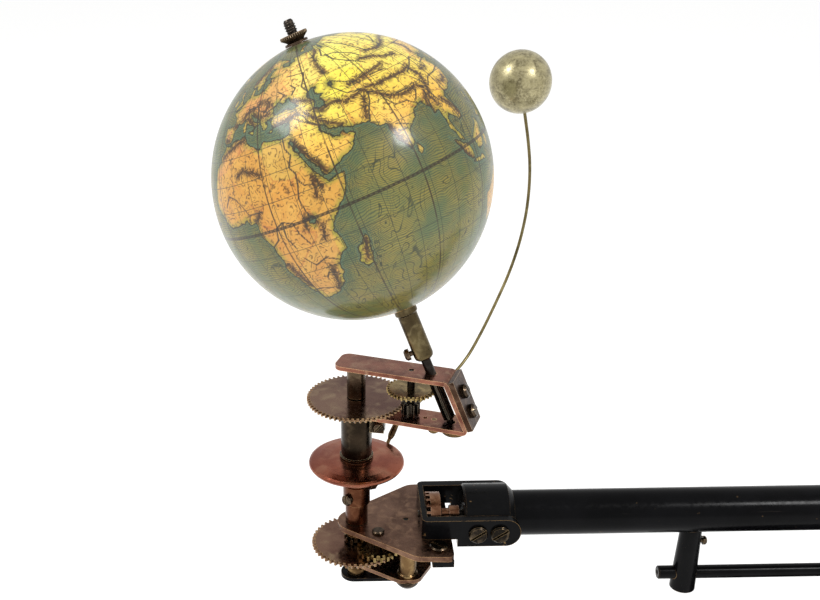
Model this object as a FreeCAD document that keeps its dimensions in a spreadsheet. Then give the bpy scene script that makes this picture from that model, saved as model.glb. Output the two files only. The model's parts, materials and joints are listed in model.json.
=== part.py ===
"""A table orrery: a stand with a fixed sun wheel, and an arm whose gear train turns the Moon and the globe.

All lengths are millimetres. The column's axis is X = Y = 0 and the felt under the base lies at Z = 0.
The arm runs to -X. Head pieces are drawn about the head axis, with their heights from the arm's axis.
"""
import FreeCAD, Part
import math
import os

import Sketcher

VECTOR = FreeCAD.Vector

SIZES = {
    # stand and arm
    "arm_length": 300.0,
    "arm_height": 150.0,
    "base_radius": 90.0,
    "base_height": 28.0,
    "felt_thick": 2.0,
    "column_radius": 8.2,
    "spindle_radius": 5.0,
    "spindle_top": 172.0,
    "shoulder_height": 137.0,
    "sun_teeth": 96.0,
    "sun_module": 0.8,
    "fit": 0.1,
    "tube_radius": 11.27,
    "tube_bore": 9.6,
    "tube_start": 77.0,
    "hub_radius": 14.0,
    "cap_radius": 14.8,
    "yoke_gap": 14.0,
    "hub_reach": 62.0,
    "sleeve_start": 52.3,
    "shaft_radius": 1.75,
    "rod_radius": 3.45,
    "rod_drop": 38.2,
    "rod_start": 154.5,
    "post_at": 168.5,
    "post_top_radius": 5.3,
    "post_foot_radius": 6.4,
    "post_foot": 47.0,
    "lamp_height": 321.0,
    # gear box under the head
    "plate_top": -3.0,
    "plate_thick": 2.8,
    "lower_top": -21.5,
    "lower_thick": 2.0,
    "plate_end": 45.5,
    "plate_half": 33.0,
    "nose_radius": 9.6,
    "bar_bottom": -36.0,
    "bar_thick": 2.0,
    "bar_half": 6.7,
    "pillar_radius": 5.0,
    "pillar_x": 24.3,
    "pillar_y": 20.0,
    "transfer_x": 24.6,
    "idler_x": 10.3,
    "idler_y": -10.9,
    "train_module": 1.0,
    "wheel_bottom": -13.9,
    "wheel_thick": 2.5,
    "frame_gear_top": -14.9,
    "frame_gear_thick": 1.6,
    "crown_start": 34.2,
    "crown_radius": 11.0,
    # Moon carrier
    "spindle_core": 2.0,
    "moon_tube_radius": 3.6,
    "disc_radius": 23.1,
    "disc_top": 34.0,
    "disc_bottom": 29.4,
    "sleeve_radius": 7.4,
    "moon_wheel_top": 66.5,
    "moon_wheel_thick": 1.5,
    "moon_azimuth": 46.0,
    "wire_radius": 0.8,
    "moon_radius": 15.15,
    "moon_reach": 119.2,
    "moon_rise": 193.2,
    # Earth frame
    "frame_azimuth": -21.0,
    "frame_top": 84.6,
    "frame_bottom": 59.1,
    "frame_thick": 2.0,
    "frame_width": 15.2,
    "bend_top": 45.6,
    "bend_bottom": 56.7,
    "arbor_u": 26.6,
    "globe_wheel_top": 75.6,
    "globe_wheel_thick": 1.6,
    # globe
    "globe_radius": 60.0,
    "globe_wall": 2.5,
    "globe_u": -1.6,
    "globe_rise": 170.8,
    "axis_tilt": 23.5,
    "polar_radius": 2.2,
    "stud_radius": 2.05,
}


class Size:
    """A number together with the sheet expression that gives it."""

    def __init__(self, value, text):
        self.value = float(value)
        self.text = text

    def __add__(self, other):
        other = size(other)
        return Size(self.value + other.value, f"({self.text} + {other.text})")

    def __sub__(self, other):
        other = size(other)
        return Size(self.value - other.value, f"({self.text} - {other.text})")

    def __mul__(self, other):
        other = size(other)
        return Size(self.value * other.value, f"({self.text} * {other.text})")

    def __truediv__(self, other):
        other = size(other)
        return Size(self.value / other.value, f"({self.text} / {other.text})")

    def __neg__(self):
        return Size(-self.value, f"(-{self.text})")

    __radd__ = __add__
    __rmul__ = __mul__

    def __rsub__(self, other):
        return size(other) - self


def size(number):
    """The number as a Size."""
    if isinstance(number, Size):
        return number
    text = f"{number:.6g}"
    return Size(number, text if number >= 0 else f"({text})")


class Cells:
    """The sheet's sizes by name, such as cells.arm_length."""

    def __getattr__(self, name):
        return Size(SIZES[name], f"Sizes.{name}")


cells = Cells()
doc = FreeCAD.newDocument("Orrery")
sheet = doc.addObject("Spreadsheet::Sheet", "Sizes")
for row, (alias, number) in enumerate(SIZES.items(), start=1):
    sheet.set(f"A{row}", alias)
    sheet.set(f"B{row}", str(number))
    sheet.setAlias(f"B{row}", alias)
doc.recompute()

nodes = []

UPRIGHT = ()
ALONG_ARM = (("Y", 90),)


def turn_text(turns):
    """A rotation expression for turns, each (axis, angle), the first one outermost."""
    axes = {"X": "vector(1; 0; 0)", "Y": "vector(0; 1; 0)", "Z": "vector(0; 0; 1)"}
    parts = [f"rotation({axes[axis]}; {size(angle).text})" for axis, angle in turns]
    return " * ".join(parts) if parts else "rotation(vector(0; 0; 1); 0)"


def place(item, at, turns=UPRIGHT):
    """Bind an object's Placement to the sheet."""
    x, y, z = (size(value).text for value in at)
    item.setExpression("Placement", f"placement(vector({x}; {y}; {z}); {turn_text(turns)})")


def head(x=0.0, y=0.0, z=0.0):
    """A point given from the head axis and the arm's axis, in the orrery's frame."""
    return (x - cells.arm_length, size(y), cells.arm_height + z)


def keep(item, label):
    """Name the object that is exported as one node."""
    item.Label = label
    nodes.append(item)
    return item


def new_body(name):
    return doc.addObject("PartDesign::Body", name)


def origin_plane(body, role):
    return next(item for item in body.Origin.OriginFeatures if item.Role == role)


def new_sketch(body, role, offset=None):
    sketch = body.newObject("Sketcher::SketchObject", f"{body.Name}_outline")
    sketch.AttachmentSupport = [(origin_plane(body, role), "")]
    sketch.MapMode = "FlatFace"
    if offset is not None:
        sketch.setExpression("AttachmentOffset.Base.z", size(offset).text)
    return sketch


def add_outline(sketch, points):
    """A closed outline of straight lines, with each corner held by the sheet."""
    points = [(size(x), size(y)) for x, y in points]
    first = sketch.GeometryCount
    count = len(points)
    for index, (x, y) in enumerate(points):
        next_x, next_y = points[(index + 1) % count]
        start = VECTOR(x.value, y.value, 0)
        end = VECTOR(next_x.value, next_y.value, 0)
        sketch.addGeometry(Part.LineSegment(start, end))
    for index in range(count):
        following = first + (index + 1) % count
        sketch.addConstraint(Sketcher.Constraint("Coincident", first + index, 2, following, 1))
    for index, corner in enumerate(points):
        for kind, coordinate in zip(("DistanceX", "DistanceY"), corner):
            constraint = Sketcher.Constraint(kind, -1, 1, first + index, 1, coordinate.value)
            number = sketch.addConstraint(constraint)
            sketch.setExpression(f"Constraints[{number}]", coordinate.text)


def add_circle(sketch, x, y, radius):
    """A circle whose centre and radius are held by the sheet."""
    x, y, radius = size(x), size(y), size(radius)
    centre = VECTOR(x.value, y.value, 0)
    index = sketch.addGeometry(Part.Circle(centre, VECTOR(0, 0, 1), radius.value))
    number = sketch.addConstraint(Sketcher.Constraint("Radius", index, radius.value))
    sketch.setExpression(f"Constraints[{number}]", radius.text)
    for kind, coordinate in (("DistanceX", x), ("DistanceY", y)):
        number = sketch.addConstraint(Sketcher.Constraint(kind, -1, 1, index, 3, coordinate.value))
        sketch.setExpression(f"Constraints[{number}]", coordinate.text)


def revolve(body, profile):
    """Turn a half profile, given as (radius, height) pairs, about the body's Z axis."""
    sketch = new_sketch(body, "XZ_Plane")
    add_outline(sketch, profile)
    feature = body.newObject("PartDesign::Revolution", f"{body.Name}_turning")
    feature.Profile = sketch
    feature.ReferenceAxis = (sketch, ["V_Axis"])
    feature.Angle = 360


def extrude(body, sketch, length, midplane=False):
    feature = body.newObject("PartDesign::Pad", f"{body.Name}_pad")
    feature.Profile = sketch
    feature.setExpression("Length", size(length).text)
    if midplane:
        feature.SideType = "Symmetric"


def drill(body, holes, top, depth):
    """Cut round holes, each (x, y, radius), down from height top."""
    sketch = new_sketch(body, "XY_Plane", top)
    for x, y, radius in holes:
        add_circle(sketch, x, y, radius)
    feature = body.newObject("PartDesign::Pocket", f"{body.Name}_holes")
    feature.Profile = sketch
    feature.setExpression("Length", size(depth).text)


def cut_window(body, outline, top, depth):
    """Cut an opening with straight sides down from height top."""
    sketch = new_sketch(body, "XY_Plane", top)
    add_outline(sketch, outline)
    feature = body.newObject("PartDesign::Pocket", f"{body.Name}_window")
    feature.Profile = sketch
    feature.setExpression("Length", size(depth).text)


def repeat_last(body, count):
    """Repeat the body's last feature round its Z axis."""
    feature = body.Group[-1]
    pattern = body.newObject("PartDesign::PolarPattern", f"{body.Name}_pattern")
    pattern.Originals = [feature]
    axis = next(item for item in body.Origin.OriginFeatures if item.Role == "Z_Axis")
    pattern.Axis = (axis, [""])
    pattern.Angle = 360
    pattern.Occurrences = count
    body.Tip = pattern


def round_corners(body, chosen, radius):
    """Round the straight edges for which chosen(middle, direction) is true."""
    doc.recompute()
    base = body.Tip
    names = []
    for number, edge in enumerate(base.Shape.Edges, start=1):
        if edge.Curve.TypeId != "Part::GeomLine":
            continue
        span = edge.Vertexes[-1].Point - edge.Vertexes[0].Point
        middle = (edge.Vertexes[-1].Point + edge.Vertexes[0].Point) * 0.5
        if chosen(middle, span.normalize()):
            names.append(f"Edge{number}")
    fillet = body.newObject("PartDesign::Fillet", f"{body.Name}_rounding")
    fillet.Base = (base, names)
    fillet.setExpression("Radius", size(radius).text)


def turned(label, profile, at, turns=UPRIGHT):
    """A turned piece as a node."""
    body = new_body(label)
    revolve(body, profile)
    place(body, at, turns)
    return keep(body, label)


def cut_teeth(body, count, radii, shares, bottom, top):
    """Cut tooth gaps at root, pitch and tip radii; shares are the gaps' parts of the pitch there."""
    pitch_length = 2 * math.pi * size(radii[1]).value / count
    outline = []
    for radius, share in zip(radii, shares):
        outline.append((radius, -share * pitch_length / 2))
    for radius, share in zip(reversed(radii), reversed(shares)):
        outline.append((radius, share * pitch_length / 2))
    sketch = new_sketch(body, "XY_Plane", top)
    add_outline(sketch, outline)
    feature = body.newObject("PartDesign::Pocket", f"{body.Name}_gap")
    feature.Profile = sketch
    feature.setExpression("Length", (size(top) - bottom).text)
    repeat_last(body, count)


def cut_crown_teeth(body, count, inner, outer, share, bottom, top):
    """Cut radial gaps into a rim's face, so that its teeth stand along the axis."""
    inner_half = share * math.pi * size(inner).value / count
    outer_half = share * math.pi * size(outer).value / count
    sketch = new_sketch(body, "XY_Plane", top)
    outline = [(inner, -inner_half), (outer, -outer_half), (outer, outer_half), (inner, inner_half)]
    add_outline(sketch, outline)
    feature = body.newObject("PartDesign::Pocket", f"{body.Name}_gap")
    feature.Profile = sketch
    feature.setExpression("Length", (size(top) - bottom).text)
    repeat_last(body, count)


SPUR_SHARES = (0.42, 0.60, 0.78)
LEAF_SHARES = (0.40, 0.68, 1.04)


def spur_radii(module, count, addendum=0.85, dedendum=1.2):
    """Root, pitch and beyond-tip radii of a spur gear, and its tip radius."""
    pitch = module * (count / 2)
    tip = pitch + module * addendum
    return (pitch - module * dedendum, pitch, tip + 0.15), tip


def primitive(kind, name, **sizes):
    item = doc.addObject(f"Part::{kind}", name)
    for key, value in sizes.items():
        item.setExpression(key, size(value).text)
    return item


def cylinder(name, radius, height, at, turns=UPRIGHT):
    item = primitive("Cylinder", name, Radius=radius, Height=height)
    place(item, at, turns)
    return item


def box(name, spans, at, turns=UPRIGHT):
    item = primitive("Box", name, Length=spans[0], Width=spans[1], Height=spans[2])
    place(item, at, turns)
    return item


def cut(base, tools, name):
    """The base with every tool taken away."""
    for number, tool in enumerate(tools):
        item = doc.addObject("Part::Cut", f"{name}_cut{number}")
        item.Base = base
        item.Tool = tool
        base = item
    return base


def fuse(shapes, name):
    item = doc.addObject("Part::MultiFuse", name)
    item.Shapes = shapes
    return item


def compound(shapes, label):
    item = doc.addObject("Part::Compound", label)
    item.Links = shapes
    return keep(item, label)


def screw(name, head_radius, head_height, shank_radius, shank_length, at, turns=UPRIGHT):
    """A slotted screw; its head stands on the local XY plane and its shank goes down."""
    body = new_body(name)
    bevel = head_height * 0.35
    profile = [
        (0, -size(shank_length)),
        (shank_radius, -size(shank_length)),
        (shank_radius, 0),
        (head_radius, 0),
        (head_radius, head_height - bevel),
        (head_radius - bevel, head_height),
        (0, head_height),
    ]
    revolve(body, profile)
    half = head_radius * 0.12
    end = head_radius + 1
    slot = [(-end, -half), (end, -half), (end, half), (-end, half)]
    cut_window(body, slot, head_height + 0.2, head_height * 0.45 + 0.2)
    place(body, at, turns)
    return body


def frame_place(x=0.0, z=0.0, extra=()):
    """A place in the Earth frame's plane, as (point, turns)."""
    angle = math.radians(SIZES["frame_azimuth"])
    point = head(size(x) * math.cos(angle), size(x) * math.sin(angle), z)
    return point, (("Z", cells.frame_azimuth),) + tuple(extra)


def polar_place():
    """The globe's centre, with local Z along its axis."""
    return frame_place(cells.globe_u, cells.globe_rise, (("Y", -cells.axis_tilt),))


# ---------------------------------------------------------------- stand

def make_stand():
    felt_radius = cells.base_radius - 7
    turned("base_felt", [(0, 0), (felt_radius, 0), (felt_radius, cells.felt_thick), (0, cells.felt_thick)],
           (0, 0, 0))
    rim = cells.base_radius
    top = cells.base_height
    turned("base_casting", [
        (0, cells.felt_thick), (rim - 2, cells.felt_thick), (rim, 4), (rim, 8), (rim - 2, 10.5),
        (rim - 7, 12), (rim - 9, 14.5), (62, 17.5), (38, 20), (26, 23), (21, top), (0, top)], (0, 0, 0))
    core = cells.column_radius
    shoulder = cells.shoulder_height
    turned("column", [
        (0, top), (15, top), (15, top + 3), (11.5, top + 5), (10.5, top + 9), (9.4, top + 16), (8.4, 98),
        (11.5, 100), (11.5, 104), (core, 105), (core, shoulder - 5), (12, shoulder - 3), (12, shoulder),
        (cells.spindle_radius, shoulder), (cells.spindle_radius, cells.spindle_top),
        (0, cells.spindle_top)],
        (0, 0, 0))
    pitch = cells.sun_module * cells.sun_teeth / 2
    pitch_plane = cells.arm_height - cells.sun_module * 6
    tip = pitch_plane + cells.sun_module * 0.75
    body = new_body("sun_wheel")
    revolve(body, [
        (cells.spindle_radius, shoulder), (pitch + 2, shoulder), (pitch + 2, tip), (pitch - 2.4, tip),
        (pitch - 2.4, shoulder + 2.5), (10, shoulder + 2.5), (9, shoulder + 9.8),
        (cells.spindle_radius, shoulder + 9.8)])
    drill(body, [(22, 0, 8.5)], shoulder + 3, 4)
    repeat_last(body, 5)
    cut_crown_teeth(body, 96, pitch - 3, pitch + 2.6, 0.62, pitch_plane - 1.1, tip + 0.1)
    # a gap faces the arm, where the drive pinion's lowest tooth stands
    place(body, (0, 0, 0), (("Z", 180),))
    keep(body, "sun_wheel")
    nut = cells.spindle_radius
    turned("spindle_nut", [
        (nut, 166.3), (8.4, 166.3), (9, 166.9), (9, 170.6), (8.4, 171.2), (nut, 171.2)], (0, 0, 0))


# ---------------------------------------------------------------- arm

def make_hub():
    height = cells.arm_height
    bore = cells.spindle_radius + cells.fit
    boss = cylinder("hub_boss", 14, 18.9, (0, 0, height - 2.9))
    reach = cells.hub_reach
    cheeks = [
        box(f"hub_cheek_{side}", (reach - 8, 4.2, 14), (-reach, (side * 11.3) - 2.1, height - 2.9))
        for side in (-1, 1)
    ]
    ring = cylinder("hub_ring", cells.hub_radius, 13, (-reach, 0, height), ALONG_ARM)
    whole = fuse([boss, ring] + cheeks, "hub_whole")
    tools = [
        cylinder("hub_bore", bore, 40, (0, 0, height - 10)),
        cylinder("hub_shaft_bore", cells.shaft_radius + 0.15, 60, (-reach - 1, 0, height), ALONG_ARM),
        cylinder("hub_pocket", 6.6, 14, (-49, 0, height), ALONG_ARM),
    ]
    keep(cut(whole, tools, "hub"), "hub")


def make_arm():
    height = cells.arm_height
    outer = cells.tube_radius
    start = cells.tube_start
    end = cells.arm_length - cells.hub_reach
    turned("arm_tube", [
        (cells.tube_bore, start), (outer, start), (outer, end), (cells.tube_bore, end)], head(), ALONG_ARM)
    bore = cells.shaft_radius + 0.15
    left = cells.sleeve_start
    radius = cells.cap_radius
    body = new_body("sleeve_turning")
    revolve(body, [
        (bore, left), (radius - 0.8, left), (radius, left + 0.8), (radius, start - 2.8),
        (outer + 0.6, start), (bore, start)])
    place(body, head(), ALONG_ARM)
    holes = [
        cylinder(f"sleeve_hole_{number}", 2, 3, head(x, y, 0), (("X", 90),))
        for number, (x, y) in enumerate(((58.2, 14.5), (68.8, 14.5), (58.2, -11.5), (68.8, -11.5)))
    ]
    flats = [
        box(f"sleeve_flat_{number}", (end - left, 4, 40), head(left, y, -20))
        for number, y in enumerate((cells.yoke_gap, -cells.yoke_gap - 4))
    ]
    keep(cut(body, holes + flats, "end_sleeve"), "end_sleeve")
    make_yoke()
    make_post()
    rod_x = cells.rod_start
    rod_end = cells.arm_length - 11.5
    rod = cells.rod_radius
    turned("brace_rod", [
        (1.3, rod_x), (rod - 0.5, rod_x), (rod, rod_x + 0.5), (rod, rod_end), (0, rod_end), (0, rod_x + 5),
        (1.3, rod_x + 4)], head(0, 0, -cells.rod_drop), ALONG_ARM)
    collar_z = height - cells.rod_drop
    ring_bore = cells.column_radius + cells.fit
    body = new_body("collar_ring")
    revolve(body, [
        (ring_bore, collar_z - 6.6), (14.2, collar_z - 6.6), (15, collar_z - 5.8), (15, collar_z + 5.8),
        (14.2, collar_z + 6.6), (ring_bore, collar_z + 6.6)])
    socket = cylinder("collar_socket", rod, 10, (-21.5, 0, collar_z), ALONG_ARM)
    keep(cut(body, [socket], "brace_collar"), "brace_collar")


def make_yoke():
    left, right = 31.1, 79.0
    top, low, seat = 7.6, -7.3, cells.plate_top
    gap = cells.yoke_gap
    step = 48.4
    body = new_body("yoke_block")
    sketch = new_sketch(body, "XZ_Plane")
    add_outline(sketch, [
        (left, seat), (step, seat), (step, low), (right, low), (right, top), (left, top)])
    extrude(body, sketch, 36.6, midplane=True)
    round_corners(body, lambda middle, way: abs(way.y) > 0.9 and middle.x > 60, 7.2)
    cut_window(body, [(33.9, -gap), (85, -gap), (85, gap), (33.9, gap)], 12, 24)
    round_corners(body, lambda middle, way: abs(way.z) > 0.9 and middle.x < 32, 3)
    place(body, head())
    tools = [cylinder("yoke_shaft_hole", cells.shaft_radius + 0.15, 8, head(28), ALONG_ARM)]
    spots = [(58.2, 1), (68.8, 1), (58.2, -1), (68.8, -1)]
    for number, (x, side) in enumerate(spots):
        y = 19.0 if side > 0 else -13.5
        tools.append(cylinder(f"yoke_hole_{number}", 2, 5.5, head(x, y, 0), (("X", 90),)))
    keep(cut(body, tools, "yoke"), "yoke")
    screws = []
    for number, (x, side) in enumerate(spots):
        lean = -90 if side > 0 else 90
        spot = head(x, side * 18.3, 0)
        screws.append(screw(f"yoke_screw_{number}", 4.6, 2.0, 2.0, 6.3, spot, (("X", lean), ("Z", 35))))
    compound(screws, "yoke_screws")


def make_post():
    foot = cells.post_foot
    height = foot - 9.6
    post = primitive("Cone", "post_cone", Radius1=cells.post_foot_radius, Radius2=cells.post_top_radius,
                     Height=height)
    at = cells.post_at
    place(post, head(at, 0, -foot))
    tools = [
        cylinder("post_saddle", cells.tube_radius, 20, head(at - 10), ALONG_ARM),
        cylinder("post_rod_hole", cells.rod_radius, 20, head(at - 10, 0, -cells.rod_drop), ALONG_ARM),
        cylinder("post_screw_hole", 1.3, 8, head(at + 1, 0, -18.7), ALONG_ARM),
    ]
    keep(cut(post, tools, "post"), "post")
    keep(screw("post_screw", 2.3, 2.0, 1.3, 3.6, head(at + 6.6, 0, -18.7), ALONG_ARM), "post_screw")


# ---------------------------------------------------------------- lamp

def make_lamp():
    lamp = cells.lamp_height
    cup = lamp - 36
    body = new_body("lamp_post")
    revolve(body, [
        (10.6, 166), (13, 166), (13, 174), (11, 177), (5, 179.5), (3.2, 184), (3.2, cup - 14),
        (4.6, cup - 12), (4.6, cup - 9), (3.2, cup - 7), (6, cup - 2), (16, cup + 1), (17, cup + 3),
        (16, cup + 3),
        (10.2, cup + 0.6), (10.2, cup + 10), (9.2, cup + 10), (9.2, cup), (0, cup), (0, 174), (10.6, 173)])
    place(body, (0, 0, 0))
    keep(body, "lamp_post")
    turned("candle", [
        (0, cup), (9.2, cup), (9.2, lamp - 11), (8.2, lamp - 9.6), (3, lamp - 10.6), (0.7, lamp - 10.4),
        (0.6, lamp - 4), (0, lamp - 3.8)], (0, 0, 0))
    # the dish opens to -X, towards the globe, behind the flame
    back = 35.0
    turned("reflector", [
        (0, back), (12, back - 1.2), (24, back - 5), (34, back - 11), (39, back - 15.6), (40, back - 15.1),
        (35, back - 9.8), (24.6, back - 3.6), (12.2, back + 0.3), (0, back + 1.4)], (0, 0, lamp), ALONG_ARM)
    stem = new_body("stem_plate")
    sketch = new_sketch(stem, "XZ_Plane")
    band = cup - 10.5
    add_outline(sketch, [
        (4.6, band - 1.2), (back + 6, band - 1.2), (back + 7, band), (back + 7, lamp + 3),
        (back + 5.4, lamp + 3), (back + 5.4, band + 0.8), (4.6, band + 0.8)])
    extrude(stem, sketch, 6, midplane=True)
    place(stem, (0, 0, 0))
    rivet = cylinder("stem_rivet", 2, 4.6, (back + 1.4, 0, lamp), ALONG_ARM)
    keep(fuse([stem, rivet], "reflector_stem"), "reflector_stem")


# ---------------------------------------------------------------- gear box

def pointed_plate(name, outline, roundings, top, thick):
    """A flat plate with a rounded nose; roundings are (from x, to x, radius) for its upright corners."""
    body = new_body(name)
    sketch = new_sketch(body, "XY_Plane", top - thick)
    apex = -cells.nose_radius / math.sin(math.radians(37.2))
    add_outline(sketch, [(apex, 0)] + outline)
    extrude(body, sketch, thick)
    for first, last, radius in roundings:
        round_corners(body, lambda middle, way: abs(way.z) > 0.9 and first < middle.x < last, radius)
    return body


def make_plates():
    top = cells.plate_top
    thick = cells.plate_thick
    corner_y = 24.7
    nose = (-20, 0, cells.nose_radius - 0.1)
    half = cells.plate_half
    end = cells.plate_end
    outline = [(27.6, -half + 0.9), (end, -half), (end, half), (27.6, half - 0.9)]
    body = pointed_plate("upper_plate", outline, (nose, (20, 30, 8), (44, 50, 3)), top, thick)
    drill(body, [
        (0, 0, 5.2), (cells.transfer_x, 0, 1.45), (cells.idler_x, cells.idler_y, 2),
        (38.7, -corner_y, 1.6), (38.7, corner_y, 1.6)], top + 1, thick + 2)
    cut_window(body, [(33.4, -11.7), (42, -11.7), (42, 11.7), (33.4, 11.7)], top + 1, thick + 2)
    place(body, head())
    keep(body, "upper_plate")
    screws = []
    for side in (-1, 1):
        spot = head(38.7, side * corner_y, top)
        screws.append(screw(f"plate_screw_{side}", 4.4, 1.6, 1.6, 4.6, spot, (("Z", 40 * side),)))
    compound(screws, "plate_screws")
    stud_foot = 11.5
    turned("idler_stud", [
        (0, -stud_foot), (3.2, -stud_foot), (3.2, 0.45 - stud_foot), (2, 0.45 - stud_foot), (2, 0), (3, 0),
        (3, 0.9), (2.5, 1.4), (0, 1.4)], head(cells.idler_x, cells.idler_y, top))
    bush = cells.moon_tube_radius + cells.fit
    turned("plate_bush", [(bush, -10.5), (5.2, -10.5), (5.2, top), (bush, top)], head())
    low = cells.lower_top
    outline = [(20, -25.5), (29.5, -25.5), (36.5, -13), (36.5, 13), (29.5, 25.5), (20, 25.5)]
    lower = pointed_plate("lower_plate", outline, (nose, (15, 32, 5), (34, 40, 2)), low, cells.lower_thick)
    drill(lower, [
        (0, 0, cells.spindle_core + 0.15), (cells.transfer_x, 0, 1.45),
        (cells.pillar_x, -cells.pillar_y, 2), (cells.pillar_x, cells.pillar_y, 2)],
        low + 1, cells.lower_thick + 2)
    cut_window(lower, [(27.6, -8), (60, -8), (60, 8), (27.6, 8)], low + 1, cells.lower_thick + 2)
    place(lower, head())
    keep(lower, "lower_plate")
    pillars = []
    feet = []
    for side in (-1, 1):
        body = new_body(f"pillar_{side + 1}")
        radius = cells.pillar_radius
        revolve(body, [
            (0, low), (radius, low), (radius, low + 1.2), (radius - 0.6, low + 1.8),
            (radius - 0.6, top - 4.6), (radius, top - 4), (radius, top - thick), (0, top - thick)])
        place(body, head(cells.pillar_x, side * cells.pillar_y, 0))
        pillars.append(body)
        foot = new_body(f"pillar_foot_{side + 1}")
        under = low - cells.lower_thick
        revolve(foot, [
            (0, under - 5.4), (2.2, under - 5.2), (4.2, under - 4.2), (5.5, under - 2.6),
            (5.8, under - 1.2), (5.8, under), (2, under), (2, low), (0, low)])
        place(foot, head(cells.pillar_x, side * cells.pillar_y, 0))
        feet.append(foot)
    compound(pillars, "pillars")
    compound(feet, "pillar_screws")


def make_bracket():
    top = cells.plate_top - cells.plate_thick
    low = cells.bar_bottom
    lean = 53.2
    thick = 3.0
    left, right = 42.2, 47.0
    body = new_body("bracket_arm")
    sketch = new_sketch(body, "XZ_Plane")
    flange = top - 3.6
    add_outline(sketch, [
        (left, top), (right, top), (right, flange), (flange + lean + thick, flange),
        (low + lean + thick, low),
        (-8.0, low), (-8.0, low + cells.bar_thick), (low + cells.bar_thick + lean, low + cells.bar_thick),
        (left, left - lean)])
    extrude(body, sketch, cells.bar_half * 2, midplane=True)
    round_corners(body, lambda middle, way: abs(way.z) > 0.9 and middle.x < 0, cells.bar_half - 0.1)
    place(body, head())
    bar = new_body("bracket_bar")
    sketch = new_sketch(bar, "XY_Plane", flange)
    near, far, inside = 35.2, cells.plate_end, 12.5
    half = cells.plate_half - 1
    add_outline(sketch, [
        (near, -half), (far, -half), (far, half), (near, half), (near, inside), (left, inside),
        (left, -inside),
        (near, -inside)])
    extrude(bar, sketch, 3.6)
    place(bar, head())
    whole = fuse([body, bar], "bracket_whole")
    holes = [
        cylinder(f"bracket_hole_{side + 1}", 1.6, 3, head(38.7, side * 24.7, top - 2)) for side in (-1, 1)
    ]
    keep(cut(whole, holes, "bracket"), "bracket")
    seat = low + cells.bar_thick
    dome = 4.9
    turned("dome_nut", [
        (0, seat), (dome, seat), (dome, seat + 2), (dome * 0.93, seat + 3.2), (dome * 0.78, seat + 4.4),
        (dome * 0.6, seat + 5.3), (2.35, seat + 5.8), (2.35, seat + 2), (0, seat + 2)], head())


# ---------------------------------------------------------------- drive and transfer gears

def make_drive():
    radius = cells.shaft_radius
    end = cells.arm_length - 20
    turned("drive_shaft", [
        (0, 30.4), (radius - 0.3, 30.4), (radius, 30.8), (radius, end), (0, end)], head(), ALONG_ARM)
    start = cells.crown_start
    outer = cells.crown_radius
    hub = 2.8
    collar = 4.2
    body = new_body("crown_wheel")
    revolve(body, [
        (radius, start + 2.4), (outer - 2.5, start + 2.4), (outer - 2.5, start), (outer, start),
        (outer, start + 6.8), (outer - 0.6, start + 7.2), (hub, start + 7.2), (hub, start + 11.7),
        (collar, start + 11.7), (collar, start + 16.4), (radius, start + 16.4)])
    # the teeth stand towards the head axis, so their gaps are cut from the far side of the rim's face
    cut_crown_teeth(body, 20, outer - 2.9, outer + 0.6, 0.70, start - 0.1, start + 1.9)
    # a tooth stands straight down, in the transfer wheel's gap
    place(body, head(), ALONG_ARM + (("Z", 9),))
    keep(body, "crown_wheel")
    radii, tip = spur_radii(cells.sun_module, 12)
    mesh = 38.4
    body = new_body("drive_pinion")
    half = 2.0
    front = cells.arm_length - mesh - half
    revolve(body, [
        (radius, front), (tip, front), (tip, front + 2 * half), (3.2, front + 2 * half),
        (3.2, front + 2 * half + 4), (radius, front + 2 * half + 4)])
    cut_teeth(body, 12, radii, LEAF_SHARES, front - 0.1, front + 2 * half)
    place(body, head(), ALONG_ARM + (("Z", 15),))
    keep(body, "drive_pinion")


def mesh_turn(count, towards, other_count, other_turn, other_towards):
    """The turn of a gear whose gap number 0 starts on +X, so that it meshes with another one.

    Angles in degrees: towards is the way to the other gear, other_towards the way back.
    """
    other_phase = (other_towards - other_turn) * other_count / 360
    wanted = 0.5 - other_phase
    return towards - wanted * 360 / count


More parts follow.
